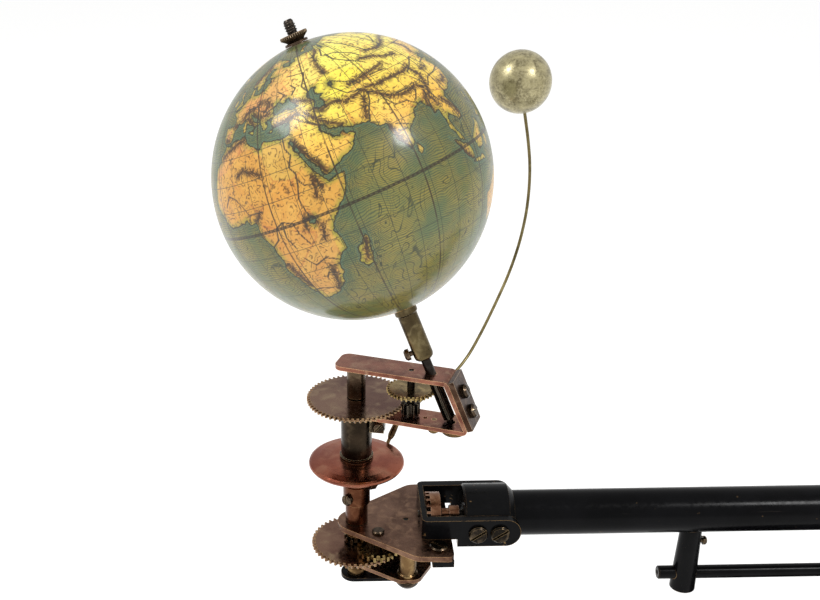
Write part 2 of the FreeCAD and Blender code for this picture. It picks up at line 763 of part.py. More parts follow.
def make_transfer():
    """The transfer arbor under the crown wheel, the idler and the two gears on the head axis."""
    x = cells.transfer_x
    idler_way = math.degrees(math.atan2(SIZES["idler_y"], SIZES["idler_x"]))
    step_x = SIZES["transfer_x"] - SIZES["idler_x"]
    driver_way = math.degrees(math.atan2(-SIZES["idler_y"], step_x))
    idler_turn = mesh_turn(19, idler_way + 180, 11, 0, idler_way)
    driver_turn = mesh_turn(17, driver_way + 180, 19, idler_turn, driver_way)
    frame_turn = mesh_turn(48, 0, 6, 0, 180)

    module = cells.transfer_x / 27
    radii, tip = spur_radii(module, 6, 0.8, 1.35)
    gear_top = cells.frame_gear_top
    low = gear_top - 2.2
    body = new_body("transfer_arbor")
    revolve(body, [
        (0, cells.lower_top - 1.8), (1.3, cells.lower_top - 1.8), (1.3, cells.lower_top + 0.3),
        (2.2, cells.lower_top + 0.3), (2.2, low), (tip, low), (tip, gear_top + 0.6), (2.2, gear_top + 0.6),
        (2.2, -6.2), (1.3, -6.2), (1.3, cells.plate_top - 0.3), (0, cells.plate_top - 0.3)])
    cut_teeth(body, 6, radii, LEAF_SHARES, low - 0.1, gear_top + 0.7)
    place(body, head(x))
    keep(body, "transfer_arbor")

    radii, tip = spur_radii(cells.train_module, 20)
    bottom, top = -10.8, -8.3
    body = new_body("transfer_wheel")
    revolve(body, [(2.2, bottom), (tip, bottom), (tip, top), (2.2, top)])
    cut_teeth(body, 20, radii, (0.48, 0.66, 0.84), bottom - 0.1, top + 0.1)
    place(body, head(x))
    keep(body, "transfer_wheel")

    bottom = cells.wheel_bottom
    top = bottom + cells.wheel_thick
    radii, tip = spur_radii(cells.train_module, 17)
    body = new_body("moon_driver")
    revolve(body, [(2.2, bottom), (tip, bottom), (tip, top), (2.2, top)])
    cut_teeth(body, 17, radii, SPUR_SHARES, bottom - 0.1, top + 0.1)
    place(body, head(x), (("Z", driver_turn),))
    keep(body, "moon_driver")

    radii, tip = spur_radii(cells.train_module, 19)
    body = new_body("idler_gear")
    revolve(body, [(2.1, bottom), (tip, bottom), (tip, top), (2.1, top)])
    cut_teeth(body, 19, radii, SPUR_SHARES, bottom - 0.1, top + 0.1)
    place(body, head(cells.idler_x, cells.idler_y), (("Z", idler_turn),))
    keep(body, "idler_gear")

    radii, tip = spur_radii(module, 48, 0.7, 1.1)
    body = new_body("frame_gear")
    core = cells.spindle_core
    bottom = gear_top - cells.frame_gear_thick
    revolve(body, [(core, bottom - 2), (4.5, bottom - 2), (4.5, bottom), (tip, bottom), (tip, gear_top),
                   (core, gear_top)])
    cut_teeth(body, 48, radii, SPUR_SHARES, bottom - 0.1, gear_top + 0.1)
    place(body, head(), (("Z", frame_turn),))
    keep(body, "frame_gear")


# ---------------------------------------------------------------- Moon carrier

def make_moon_carrier():
    core = cells.spindle_core + cells.fit
    outer = cells.moon_tube_radius
    radii, tip = spur_radii(cells.train_module, 11, 0.8, 1.25)
    bottom = cells.wheel_bottom
    top = bottom + cells.wheel_thick
    wheel_top = cells.moon_wheel_top
    body = new_body("moon_tube")
    revolve(body, [
        (core, bottom - 0.3), (outer, bottom - 0.3), (outer, bottom), (tip, bottom), (tip, top),
        (outer, top),
        (outer, wheel_top), (core, wheel_top)])
    cut_teeth(body, 11, radii, (0.42, 0.62, 0.86), bottom - 0.1, top)
    place(body, head())
    keep(body, "moon_tube")

    disc_low = cells.disc_bottom
    collar_low = cells.plate_top + 0.4
    body = new_body("collar_body")
    revolve(body, [
        (outer, collar_low), (5.5, collar_low), (5.5, 8), (6.6, 8.6), (6.6, 18.6), (6, 19.2), (6, disc_low),
        (outer, disc_low)])
    place(body, head())
    holes = []
    screws = []
    for number, (azimuth, height, head_height) in enumerate(((-130, 12.4, 2.2), (18, 16.5, 4.0))):
        way = math.radians(azimuth)
        turns = (("Z", azimuth), ("Y", 90))
        inner = head(4 * math.cos(way), 4 * math.sin(way), height)
        holes.append(cylinder(f"collar_hole_{number}", 1.3, 4, inner, turns))
        seat = head(6.75 * math.cos(way), 6.75 * math.sin(way), height)
        screws.append(screw(f"collar_screw_{number}", 2.8, head_height, 1.3, 2.5, seat, turns))
    keep(cut(body, holes, "disc_collar"), "disc_collar")
    compound(screws, "collar_screws")

    rim = cells.disc_radius
    disc_top = cells.disc_top
    disc = turned("carrier_disc", [
        (outer, disc_low), (rim - 1.8, disc_low), (rim - 0.5, disc_low + 0.7), (rim, disc_low + 1.6),
        (rim - 0.3, disc_low + 2.4), (rim - 1.3, disc_low + 3), (rim - 5, disc_low + 3.7),
        (13, disc_top - 0.4), (outer, disc_top)], head())

    sleeve = cells.sleeve_radius
    wheel_low = wheel_top - cells.moon_wheel_thick
    body = new_body("sleeve_body")
    revolve(body, [
        (outer, disc_top), (sleeve + 0.7, disc_top), (sleeve + 0.7, disc_top + 1.5),
        (sleeve, disc_top + 1.8),
        (sleeve, wheel_low), (outer, wheel_low)])
    place(body, head())
    azimuth = -12
    way = math.radians(azimuth)
    across = (-math.sin(way), math.cos(way))

    def lug_point(along, sideways, height):
        x = along * math.cos(way) + sideways * across[0]
        y = along * math.sin(way) + sideways * across[1]
        return head(x, y, height)

    turns = (("Z", azimuth),)
    lug = box("sleeve_lug", (7.8, 5.4, 7.4), lug_point(5.8, -2.7, 49.2), turns)
    slit = box("sleeve_slit", (9.6, 0.8, 12), lug_point(5, -0.4, 46.7), turns)
    hole = cylinder("sleeve_hole", 1.4, 8, lug_point(11.2, 4, 53), turns + (("X", 90),))
    whole = fuse([body, lug], "sleeve_whole")
    keep(cut(whole, [slit, hole], "carrier_sleeve"), "carrier_sleeve")
    seat_turns = turns + (("X", 90), ("Z", 50))
    keep(screw("sleeve_screw", 2.9, 2.4, 1.4, 5.4, lug_point(11.2, -2.7, 53), seat_turns), "sleeve_screw")

    module = cells.arbor_u / 35
    radii, tip = spur_radii(module, 60, 0.75, 1.15)
    body = new_body("moon_wheel")
    revolve(body, [(outer, wheel_low), (tip, wheel_low), (tip, wheel_top), (outer, wheel_top)])
    cut_teeth(body, 60, radii, SPUR_SHARES, wheel_low - 0.1, wheel_top + 0.1)
    place(body, head())
    keep(body, "moon_wheel")
    make_moon(disc)


# (distance from the head axis, height) in the plane of the Moon wire
FERRULE_FOOT = (22.4, 30.6)
FERRULE_TOP = (31.2, 41.6)
WIRE_ROUTE = [
    FERRULE_TOP, (32.6, 43.35), (44.0, 44.4), (54.0, 46.6), (66.0, 48.5), (78.0, 51.6), (88.0, 57.2),
    (98.5, 67.2),
    (109.7, 80.0), (120.2, 93.4), (128.0, 108.0), (132.4, 123.0), (133.6, 136.5), (132.6, 150.0),
    (129.2, 163.5),
]


def tangent_path(points):
    """Straight runs joined by tangent arcs, as edges."""
    edges = []
    last = points[0]
    for before, corner, after in zip(points, points[1:], points[2:]):
        to_before = before - corner
        to_after = after - corner
        shorter = min(to_before.Length, to_after.Length)
        turn = math.pi - to_before.getAngle(to_after)
        setback = 0.45 * shorter
        start = corner + to_before.normalize() * setback
        end = corner + to_after.normalize() * setback
        towards_middle = (start + end) * 0.5 - corner
        radius = setback / math.tan(turn / 2)
        depth = radius * (1 / math.cos(turn / 2) - 1)
        arc_middle = corner + towards_middle.normalize() * depth
        if (start - last).Length > 1e-6:
            edges.append(Part.LineSegment(last, start).toShape())
        edges.append(Part.Arc(start, arc_middle, end).toShape())
        last = end
    edges.append(Part.LineSegment(last, points[-1]).toShape())
    return edges


def make_moon(disc):
    azimuth = cells.moon_azimuth
    rise = math.degrees(math.atan2(FERRULE_TOP[1] - FERRULE_FOOT[1], FERRULE_TOP[0] - FERRULE_FOOT[0]))
    length = math.hypot(FERRULE_TOP[1] - FERRULE_FOOT[1], FERRULE_TOP[0] - FERRULE_FOOT[0])
    body = new_body("ferrule_body")
    revolve(body, [
        (0, 0), (0.9, 0), (0.9, 3.2), (1.4, 4.2), (1.7, 5.6), (1.6, 9), (1.2, length), (0, length)])
    way = math.radians(SIZES["moon_azimuth"])
    foot = head(FERRULE_FOOT[0] * math.cos(way), FERRULE_FOOT[0] * math.sin(way), FERRULE_FOOT[1])
    place(body, foot, (("Z", azimuth), ("Y", 90 - rise)))
    keep(cut(body, [disc], "ferrule"), "ferrule")

    centre = VECTOR(sheet.moon_reach, 0, sheet.moon_rise)
    route = [VECTOR(reach, 0, height) for reach, height in WIRE_ROUTE]
    arrival = (route[-1] - centre).normalize()
    route.append(centre + arrival * sheet.moon_radius)
    edges = tangent_path(route)
    path = Part.Wire(edges)
    way_out = (route[1] - route[0]).normalize()
    ring = Part.Wire([Part.Circle(route[0], way_out, sheet.wire_radius).toShape()])
    wire = doc.addObject("Part::Feature", "moon_wire")
    wire.Shape = path.makePipeShell([ring], True, True)
    wire.Placement = FreeCAD.Placement(
        VECTOR(-sheet.arm_length, 0, sheet.arm_height),
        FreeCAD.Rotation(VECTOR(0, 0, 1), sheet.moon_azimuth))
    keep(wire, "moon_wire")

    moon = primitive("Sphere", "moon", Radius=cells.moon_radius)
    place(moon, head(cells.moon_reach * math.cos(way), cells.moon_reach * math.sin(way), cells.moon_rise),
          (("Z", azimuth),))
    keep(moon, "moon")


# ---------------------------------------------------------------- Earth frame

def web_slope():
    return (SIZES["bend_bottom"] - SIZES["bend_top"]) / (SIZES["frame_top"] - SIZES["frame_bottom"])


def on_web(height, outwards=0.0):
    """A point in the frame's plane, beside the outer face of its leaning web."""
    slope = web_slope()
    across = math.hypot(1, slope)
    along = cells.bend_top + (cells.frame_top - height) * slope
    return along + outwards / across, height + outwards * slope / across


def web_spots(outwards):
    """The places of the two screws that go square through the web."""
    lean = math.degrees(math.atan2(1, web_slope()))
    for number, height in enumerate((76.8, 67.5)):
        along, up = on_web(size(height), outwards)
        yield frame_place(along, up, (("Y", lean), ("Z", 20 + 50 * number)))


def make_earth_frame():
    core = cells.spindle_core
    top = cells.frame_top
    thick = cells.frame_thick
    under_top = top - thick
    shoulder = cells.moon_wheel_top + 0.45
    turned("frame_spindle", [
        (0, cells.bar_bottom + 4.3), (core, cells.bar_bottom + 4.3), (core, shoulder), (4.4, shoulder),
        (4.4, under_top), (core, under_top), (core, top - 0.8), (0, top - 0.8)], head())

    low = cells.frame_bottom
    deck = low + thick
    body = new_body("frame_strip")
    sketch = new_sketch(body, "XZ_Plane")
    inner_top = cells.bend_top - 1.7
    inner_low = cells.bend_bottom - 2.8
    add_outline(sketch, [
        (-8.8, top), (cells.bend_top, top), (cells.bend_bottom, low), (0, low), (0, deck),
        (inner_low, deck), (inner_top, under_top), (-8.8, under_top)])
    extrude(body, sketch, cells.frame_width, midplane=True)
    round_corners(body, lambda middle, way: abs(way.y) > 0.9 and middle.x > 45 and middle.z > 80, 3)
    round_corners(body, lambda middle, way: abs(way.y) > 0.9 and middle.x > 53 and middle.z < 60, 2.4)
    round_corners(body, lambda middle, way: abs(way.z) > 0.9 and middle.x < -8, 4)
    point, turns = frame_place()
    place(body, point, turns)
    ring = cylinder("frame_ring", 9.8, thick, frame_place(0, low)[0], turns)
    whole = fuse([body, ring], "frame_whole")
    polar_point, polar_turns = polar_place()
    arbor = cells.arbor_u
    tools = [
        cylinder("frame_bore", core, 4.2, head(0, 0, top - 5)),
        cylinder("frame_ring_bore", cells.sleeve_radius + 0.15, 8, head(0, 0, low - 3)),
        cylinder("frame_arbor_top", 1.35, 6, frame_place(arbor, top - 4)[0]),
        cylinder("frame_arbor_low", 1.35, 6, frame_place(arbor, low - 2)[0]),
        cylinder("frame_peep", 1.0, 6, frame_place(33.8, low - 2)[0]),
        cylinder("frame_nut_hole", 1.2, 6, frame_place(38.0, low - 2)[0]),
    ]
    bore = primitive("Cone", "frame_polar_bore", Radius1=1.55, Radius2=2.5, Height=60)
    place(bore, *shift_polar(-144.0))
    tools.append(bore)
    backing = 2.5
    holes = [
        cylinder(f"web_hole_{number}", 1.4, 8, *spot) for number, spot in enumerate(web_spots(-1.2))
    ]
    keep(cut(whole, tools + holes, "c_frame"), "c_frame")

    backing_top = size(84.2)
    backing_low = size(61.2)
    body = new_body("backing_body")
    sketch = new_sketch(body, "XZ_Plane")
    add_outline(sketch, [on_web(backing_top), on_web(backing_low), on_web(backing_low, backing),
                         on_web(backing_top, backing)])
    extrude(body, sketch, cells.frame_width - 0.6, midplane=True)
    place(body, point, turns)
    keep(cut(body, holes, "backing_plate"), "backing_plate")
    screws = [
        screw(f"backing_screw_{number}", 3.3, 2.3, 1.4, backing + 1.2, *spot)
        for number, spot in enumerate(web_spots(backing))
    ]
    compound(screws, "backing_screws")

    boss_body = new_body("boss_body")
    boss_drop = 3.0
    revolve(boss_body, [
        (0, low - boss_drop), (5.3, low - boss_drop), (5.75, low - boss_drop + 0.5), (5.75, low), (0, low)])
    place(boss_body, frame_place(47.6, 0)[0])
    bore = cylinder("boss_bore", 1.5, 60, *shift_polar(-150.0))
    keep(cut(boss_body, [bore], "frame_boss"), "frame_boss")
    nut_point = frame_place(38.0, 0)[0]
    turned("frame_nut", [
        (0, low - 4.6), (1.9, low - 4.6), (2.5, low - 4), (2.5, low), (1.2, low), (1.2, deck), (0, deck)],
        nut_point)


def shift_polar(along):
    """A place on the globe's axis, along millimetres from its centre, as (point, turns)."""
    tilt = math.radians(SIZES["axis_tilt"])
    reach = cells.globe_u - along * math.sin(tilt)
    point, _ = frame_place(reach, cells.globe_rise + along * math.cos(tilt))
    return point, (("Z", cells.frame_azimuth), ("Y", -cells.axis_tilt))


def make_frame_arbor():
    arbor = cells.arbor_u
    module = cells.arbor_u / 35
    top = cells.frame_top
    low = cells.frame_bottom
    pinion_low, pinion_top = 62.0, 68.2
    radii, tip = spur_radii(module, 10, 0.8, 1.3)
    point = frame_place(arbor, 0)[0]
    pinion_turn = mesh_turn(10, SIZES["frame_azimuth"] + 180, 60, 0, SIZES["frame_azimuth"])
    body = new_body("frame_arbor")
    revolve(body, [
        (0, low + 0.2), (1.2, low + 0.2), (1.2, low + 2.4), (1.8, low + 2.4), (1.8, pinion_low),
        (tip, pinion_low), (tip, pinion_top), (1.8, pinion_top), (1.8, top - 2.4), (1.2, top - 2.4),
        (1.2, top - 0.3), (0, top - 0.3)])
    cut_teeth(body, 10, radii, LEAF_SHARES, pinion_low - 0.1, pinion_top + 0.1)
    place(body, point, (("Z", pinion_turn),))
    keep(body, "frame_arbor")

    wheel_top = cells.globe_wheel_top
    wheel_low = wheel_top - cells.globe_wheel_thick
    body = new_body("globe_wheel")
    pitch = 10.73
    tip = 11.25
    revolve(body, [
        (1.8, wheel_low - 1.7), (3.4, wheel_low - 1.7), (3.4, wheel_low), (tip, wheel_low),
        (tip, wheel_top), (1.8, wheel_top)])
    radii = (pitch - 0.9, pitch, tip + 0.15)
    cut_teeth(body, 32, radii, (0.46, 0.62, 0.80), wheel_low - 0.1, wheel_top + 0.1)
    place(body, point, (("Z", cells.frame_azimuth),))
    keep(body, "globe_wheel")


def add_shell(sketch, outer, inner, bore):
    """Half the section of a hollow ball with a bore through both poles."""
    corners = []
    for radius in (outer, inner):
        rise = math.sqrt(radius.value ** 2 - bore.value ** 2)
        lean = math.atan2(rise, bore.value)
        circle = Part.Circle(VECTOR(0, 0, 0), VECTOR(0, 0, 1), radius.value)
        index = sketch.addGeometry(Part.ArcOfCircle(circle, -lean, lean))
        sketch.addConstraint(Sketcher.Constraint("Coincident", index, 3, -1, 1))
        number = sketch.addConstraint(Sketcher.Constraint("Radius", index, radius.value))
        sketch.setExpression(f"Constraints[{number}]", radius.text)
        corners.append((index, rise))
    (outer_arc, outer_rise), (inner_arc, inner_rise) = corners
    for side, end in ((-1, 1), (1, 2)):
        start = VECTOR(bore.value, side * outer_rise, 0)
        finish = VECTOR(bore.value, side * inner_rise, 0)
        line = sketch.addGeometry(Part.LineSegment(start, finish))
        sketch.addConstraint(Sketcher.Constraint("Coincident", line, 1, outer_arc, end))
        sketch.addConstraint(Sketcher.Constraint("Coincident", line, 2, inner_arc, end))
        sketch.addConstraint(Sketcher.Constraint("Vertical", line))
        number = sketch.addConstraint(Sketcher.Constraint("DistanceX", -1, 1, line, 1, bore.value))
        sketch.setExpression(f"Constraints[{number}]", bore.text)


# ---------------------------------------------------------------- globe

def make_globe():
    centre, turns = polar_place()
    radius = cells.globe_radius
    body = new_body("globe")
    sketch = new_sketch(body, "XZ_Plane")
    add_shell(sketch, radius, radius - cells.globe_wall, cells.stud_radius)
    feature = body.newObject("PartDesign::Revolution", "globe_turning")
    feature.Profile = sketch
    feature.ReferenceAxis = (sketch, ["V_Axis"])
    feature.Angle = 360
    place(body, centre, turns)
    keep(body, "globe")

    tip, pitch, root = 2.85, 2.35, 1.5
    leaf_low, leaf_top = -117.2, -97.5
    rod = cells.polar_radius
    stud = cells.stud_radius
    body = new_body("polar_rod")
    revolve(body, [
        (0, -124.4), (1.35, -124.4), (1.35, leaf_low - 1), (tip, leaf_low), (tip, leaf_top),
        (rod, leaf_top), (rod, -60.4), (stud, -60.4), (stud, 69.4), (stud - 0.6, 70.2), (0, 70.2)])
    cut_teeth(body, 7, (root, pitch, tip + 0.2), (0.42, 0.66, 0.98), leaf_low - 1.1, leaf_top + 0.1)
    # a leaf points towards the frame arbor, into the globe wheel's gap
    place(body, centre, turns + (("Z", 180 + 180 / 7),))
    keep(body, "polar_rod")

    low = -86.4
    body = new_body("socket_body")
    revolve(body, [
        (rod, low), (3.4, low), (4.2, low + 0.8), (4.45, low + 2), (4.45, -64.2), (5.2, -63.4),
        (5.2, -60.02),
        (rod, -60.02)])
    place(body, centre, turns)
    azimuth = 200
    screw_turns = turns + (("Z", azimuth), ("Y", 90))
    seat_body = screw("socket_screw", 2.7, 2.4, 1.2, 3.0, *socket_point(azimuth, 5.7, -82, screw_turns))
    hole = cylinder("socket_hole", 1.2, 4, *socket_point(azimuth, 2.6, -82, screw_turns))
    keep(cut(body, [hole], "globe_socket"), "globe_socket")
    keep(seat_body, "socket_screw")
    turned("pole_washer", [(stud, 60.0), (5, 60.0), (5, 60.8), (4.6, 61.1), (stud, 61.1)], centre, turns)
    body = new_body("pole_nut")
    revolve(body, [
        (stud, 61.1), (3.75, 61.1), (5.6, 62.8), (5.95, 63), (5.95, 64.1), (5.6, 64.4), (3, 64.4),
        (stud, 64)])
    place(body, centre, turns)
    keep(body, "pole_nut")


def socket_point(azimuth, out, along, turns):
    """A point beside the globe's axis, as (point, turns)."""
    tilt = math.radians(SIZES["axis_tilt"])
    way = math.radians(azimuth)
    side = out * math.cos(way)
    across = out * math.sin(way)
    reach = SIZES["globe_u"] + side * math.cos(tilt) - along * math.sin(tilt)
    rise = SIZES["globe_rise"] + side * math.sin(tilt) + along * math.cos(tilt)
    spin = math.radians(SIZES["frame_azimuth"])
    x = reach * math.cos(spin) - across * math.sin(spin)
    y = reach * math.sin(spin) + across * math.cos(spin)
    return head(x, y, rise), turns


def write_parts():
    doc.recompute()
    for item in doc.Objects:
        if "Invalid" in item.State or "Error" in item.State:
            raise RuntimeError(f"{item.Name} failed: {item.State}")
    os.makedirs("parts", exist_ok=True)
    for item in nodes:
        shape = item.Shape
        if shape.isNull() or not shape.isValid() or not shape.Solids:
            raise RuntimeError(f"{item.Label} has no valid solid")
        shape.exportStep(f"parts/{item.Label}.step")
    print(len(nodes), "nodes")


make_stand()
make_hub()
make_arm()
make_lamp()
make_plates()
make_bracket()
make_drive()
make_transfer()
make_moon_carrier()
make_earth_frame()
make_frame_arbor()
make_globe()
write_parts()
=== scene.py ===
"""The looks of a table orrery: aged metal, black lacquer and a printed globe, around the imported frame.

Lengths are metres, in the frame's own axes; MM turns millimetres into metres.
"""
import json
import math

import bpy
import numpy as np
from mathutils import Matrix, Vector


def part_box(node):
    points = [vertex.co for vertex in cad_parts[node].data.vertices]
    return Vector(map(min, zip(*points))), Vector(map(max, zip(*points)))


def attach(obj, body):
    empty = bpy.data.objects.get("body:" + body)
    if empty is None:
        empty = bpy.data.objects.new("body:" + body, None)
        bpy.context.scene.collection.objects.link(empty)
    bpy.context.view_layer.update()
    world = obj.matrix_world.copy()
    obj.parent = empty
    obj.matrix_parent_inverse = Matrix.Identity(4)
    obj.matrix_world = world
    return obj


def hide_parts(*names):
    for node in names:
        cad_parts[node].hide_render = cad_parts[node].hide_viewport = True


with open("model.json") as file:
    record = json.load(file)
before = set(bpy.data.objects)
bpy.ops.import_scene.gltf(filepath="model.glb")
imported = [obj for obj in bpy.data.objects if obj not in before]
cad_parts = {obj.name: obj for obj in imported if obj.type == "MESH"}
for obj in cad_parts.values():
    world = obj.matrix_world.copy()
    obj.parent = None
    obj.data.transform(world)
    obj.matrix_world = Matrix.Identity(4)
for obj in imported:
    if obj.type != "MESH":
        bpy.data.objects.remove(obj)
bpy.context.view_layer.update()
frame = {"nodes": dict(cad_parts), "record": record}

MM = 0.001


# ---------------------------------------------------------------- places taken from the frame

JOINTS = {joint["name"]: joint for joint in frame["record"]["behaviour"]["joints"]}
HEAD = Vector(JOINTS["moon_turn"]["pos_m"])
ARM_HEIGHT = JOINTS["drive_turn"]["pos_m"][2]
HEAD_AXIS = Vector((HEAD.x, HEAD.y, ARM_HEIGHT))
GLOBE_CENTRE = Vector(JOINTS["earth_spin"]["pos_m"])
GLOBE_AXIS = Vector(JOINTS["earth_spin"]["axis"]).normalized()
GLOBE_RADIUS = 60.0 * MM


# ---------------------------------------------------------------- shader building

class Shader:
    """A material's node tree, with short calls for the nodes used here."""

    def __init__(self, name, **constants):
        self.material = bpy.data.materials.new(name)
        self.material.use_nodes = True
        self.tree = self.material.node_tree
        self.tree.nodes.clear()
        self.surface = self.node("BsdfPrincipled")
        self.tree.links.new(self.surface.outputs[0], self.node("OutputMaterial").inputs[0])
        self.place = self.node("TexCoord").outputs["Object"]
        for socket, value in constants.items():
            self.set(socket.replace("_", " "), value)

    def node(self, kind):
        return self.tree.nodes.new("ShaderNode" + kind)

    def feed(self, socket, value):
        """Link a socket to a value from another node, or set it to a number or colour."""
        if isinstance(value, bpy.types.NodeSocket):
            self.tree.links.new(value, socket)
        elif isinstance(value, tuple) and len(value) == 3 and socket.type == "RGBA":
            socket.default_value = (*value, 1)
        else:
            socket.default_value = value

    def set(self, socket, value):
        self.feed(self.surface.inputs[socket], value)

    def combine(self, kind, operation, values, out=0):
        node = self.node(kind)
        node.operation = operation
        for socket, value in zip(node.inputs, values):
            self.feed(socket, value)
        return node.outputs[out]

    def math(self, operation, *values):
        return self.combine("Math", operation, values)

    def vector(self, operation, *values, out=0):
        return self.combine("VectorMath", operation, values, out)

    def product(self, *values):
        result = values[0]
        for value in values[1:]:
            result = self.math("MULTIPLY", result, value)
        return result

    def ramp(self, value, low, high, start=0.0, end=1.0):
        """A smooth step from start to end, as value goes from low to high."""
        node = self.node("MapRange")
        node.interpolation_type = "SMOOTHSTEP"
        for name, number in (("From Min", low), ("From Max", high), ("To Min", start), ("To Max", end)):
            node.inputs[name].default_value = number
        self.feed(node.inputs["Value"], value)
        return node.outputs[0]

    def mix(self, share, first, second, blend="MIX"):
        node = self.node("Mix")
        node.data_type = "RGBA"
        node.blend_type = blend
        self.feed(node.inputs["Factor"], share)
        self.feed(node.inputs[6], first)
        self.feed(node.inputs[7], second)
        return node.outputs[2]

    def lay(self, under, colour, *shares):
        """Colour laid over under, as strongly as the product of the shares."""
        return self.mix(self.product(*shares), under, colour)

    def noise(self, scale, detail=4.0, roughness=0.55, stretch=None, distortion=0.0):
        node = self.node("TexNoise")
        place = self.place if stretch is None else self.vector("MULTIPLY", self.place, stretch)
        self.feed(node.inputs["Vector"], place)
        for name, number in (("Scale", scale), ("Detail", detail), ("Roughness", roughness),
                             ("Distortion", distortion)):
            node.inputs[name].default_value = number
        return node.outputs["Fac"]

    def spots(self, scale):
        """Distance to the nearest of scattered points."""
        node = self.node("TexVoronoi")
        self.feed(node.inputs["Vector"], self.place)
        node.inputs["Scale"].default_value = scale
        return node.outputs["Distance"]

    def near(self, value, half_width, soft=0.5):
        """1 where value is within half_width of zero."""
        off = self.math("ABSOLUTE", value)
        return self.ramp(off, half_width * (1 - soft), half_width * (1 + soft), 1.0, 0.0)

    def offset(self, value, pitch):
        """How far value is from the nearest multiple of pitch."""
        cell = self.math("FRACT", self.math("ADD", self.math("DIVIDE", value, pitch), 0.5))
        return self.product(self.math("ABSOLUTE", self.math("SUBTRACT", cell, 0.5)), pitch)

    def lines(self, value, pitch, half_width, soft=0.6):
        """1 on lines every pitch of value, half_width wide on each side."""
        return self.near(self.offset(value, pitch), half_width, soft)

    def edges(self, radius, low=0.02, high=0.22):
        """How far the surface here is a convex or concave corner, 0 to 1."""
        bevel = self.node("Bevel")
        bevel.samples = 6
        bevel.inputs["Radius"].default_value = radius
        normal = self.node("NewGeometry").outputs["Normal"]
        turn = self.vector("DOT_PRODUCT", bevel.outputs[0], normal, out="Value")
        return self.ramp(self.math("SUBTRACT", 1.0, turn), low, high)

    def shelter(self, distance):
        """1 in the open, less in corners."""
        node = self.node("AmbientOcclusion")
        node.samples = 6
        node.inputs["Distance"].default_value = distance
        return node.outputs["AO"]

    def bump(self, height, distance, strength):
        node = self.node("Bump")
        node.inputs["Strength"].default_value = strength
        node.inputs["Distance"].default_value = distance
        self.feed(node.inputs["Height"], height)
        self.set("Normal", node.outputs[0])

    def attribute(self, name, output="Fac"):
        node = self.node("Attribute")
        node.attribute_name = name
        return node.outputs[output]


def aged_metal(name, dark, middle, bright, edge, rough=(0.16, 0.36), recess_shade_strength=0.6, patch=70.0, grain=(1, 1, 1)):
    """Bare metal with patches of patina, bright corners, painted shade darkening the recesses and fine
    scratches.
    """
    shader = Shader(name, Metallic=1.0)
    broad = shader.noise(patch, 4.0, 0.55)
    cloud = shader.noise(patch * 2.6, 3.0, 0.5, distortion=0.8)
    fine = shader.noise(patch * 9, 4.0, 0.65)
    scratch = shader.noise(900.0, 3.0, 0.6, stretch=grain)
    colour = shader.mix(shader.ramp(broad, 0.34, 0.62), dark, middle)
    colour = shader.lay(colour, bright, shader.ramp(cloud, 0.44, 0.74, 0.0, 0.75))
    colour = shader.lay(colour, bright, shader.ramp(fine, 0.60, 0.80, 0.0, 0.3))
    colour = shader.lay(colour, bright, shader.ramp(scratch, 0.6, 0.75), 0.2)
    corner = shader.product(shader.edges(0.5 * MM), shader.ramp(broad, 0.2, 0.55, 0.45, 1.0))
    colour = shader.lay(colour, edge, corner, 0.9)
    # painted shade: the colour is darkened where ambient occlusion finds corners and recesses; the same mask
    # also roughens them
    recess_shade = shader.product(shader.ramp(shader.shelter(3 * MM), 0.15, 0.75, 1.0, 0.0), recess_shade_strength)
    colour = shader.lay(colour, tuple(channel * 0.22 for channel in dark), recess_shade)
    shader.set("Base Color", colour)
    worn = shader.ramp(fine, 0.3, 0.7, *rough)
    shader.set("Roughness", shader.math("ADD", worn, shader.product(recess_shade, 0.25)))
    shader.bump(shader.math("ADD", shader.product(fine, 0.4), shader.product(scratch, 0.4)), 0.04 * MM, 0.3)
    return shader.material


def black_lacquer(name, black=(0.002, 0.002, 0.0022), wear=0.8, rough=(0.12, 0.28), grain=(1, 1, 1)):
    """Glossy black lacquer over brass, rubbed through at the corners."""
    shader = Shader(name, Specular_IOR_Level=0.07)
    broad = shader.noise(45.0, 5.0, 0.6)
    fine = shader.noise(420.0, 4.0, 0.6)
    scratch = shader.noise(700.0, 3.0, 0.7, stretch=grain)
    base = shader.mix(shader.ramp(broad, 0.35, 0.7), black, tuple(channel * 2.1 for channel in black))
    base = shader.lay(base, (0.03, 0.024, 0.02), shader.ramp(scratch, 0.66, 0.8), 0.5)
    corner = shader.edges(0.7 * MM, 0.03, 0.3)
    rubbed = shader.product(corner, shader.ramp(shader.noise(150.0, 5.0, 0.7), 0.38, 0.56))
    chips = shader.product(shader.ramp(shader.noise(260.0, 3.0, 0.5), 0.70, 0.75), 0.7)
    bare = shader.product(shader.math("MAXIMUM", rubbed, chips), wear)
    shader.set("Base Color", shader.lay(base, (0.26, 0.16, 0.07), bare))
    shader.set("Metallic", shader.product(bare, 0.9))
    worn = shader.ramp(fine, 0.3, 0.7, *rough)
    shader.set("Roughness", shader.math("ADD", worn, shader.product(bare, 0.2)))
    grit = shader.product(shader.math("ADD", fine, scratch), 0.3)
    shader.bump(shader.math("SUBTRACT", grit, bare), 0.05 * MM, 0.5)
    return shader.material


# ---------------------------------------------------------------- metals and lacquers by slot

ALONG_X = (0.05, 1, 1)
UPRIGHT_GRAIN = (1, 1, 0.05)
ROUND_GRAIN = (0.2, 0.2, 4)

BRASS = ((0.09, 0.062, 0.028), (0.22, 0.155, 0.07), (0.38, 0.28, 0.13), (0.66, 0.47, 0.22))
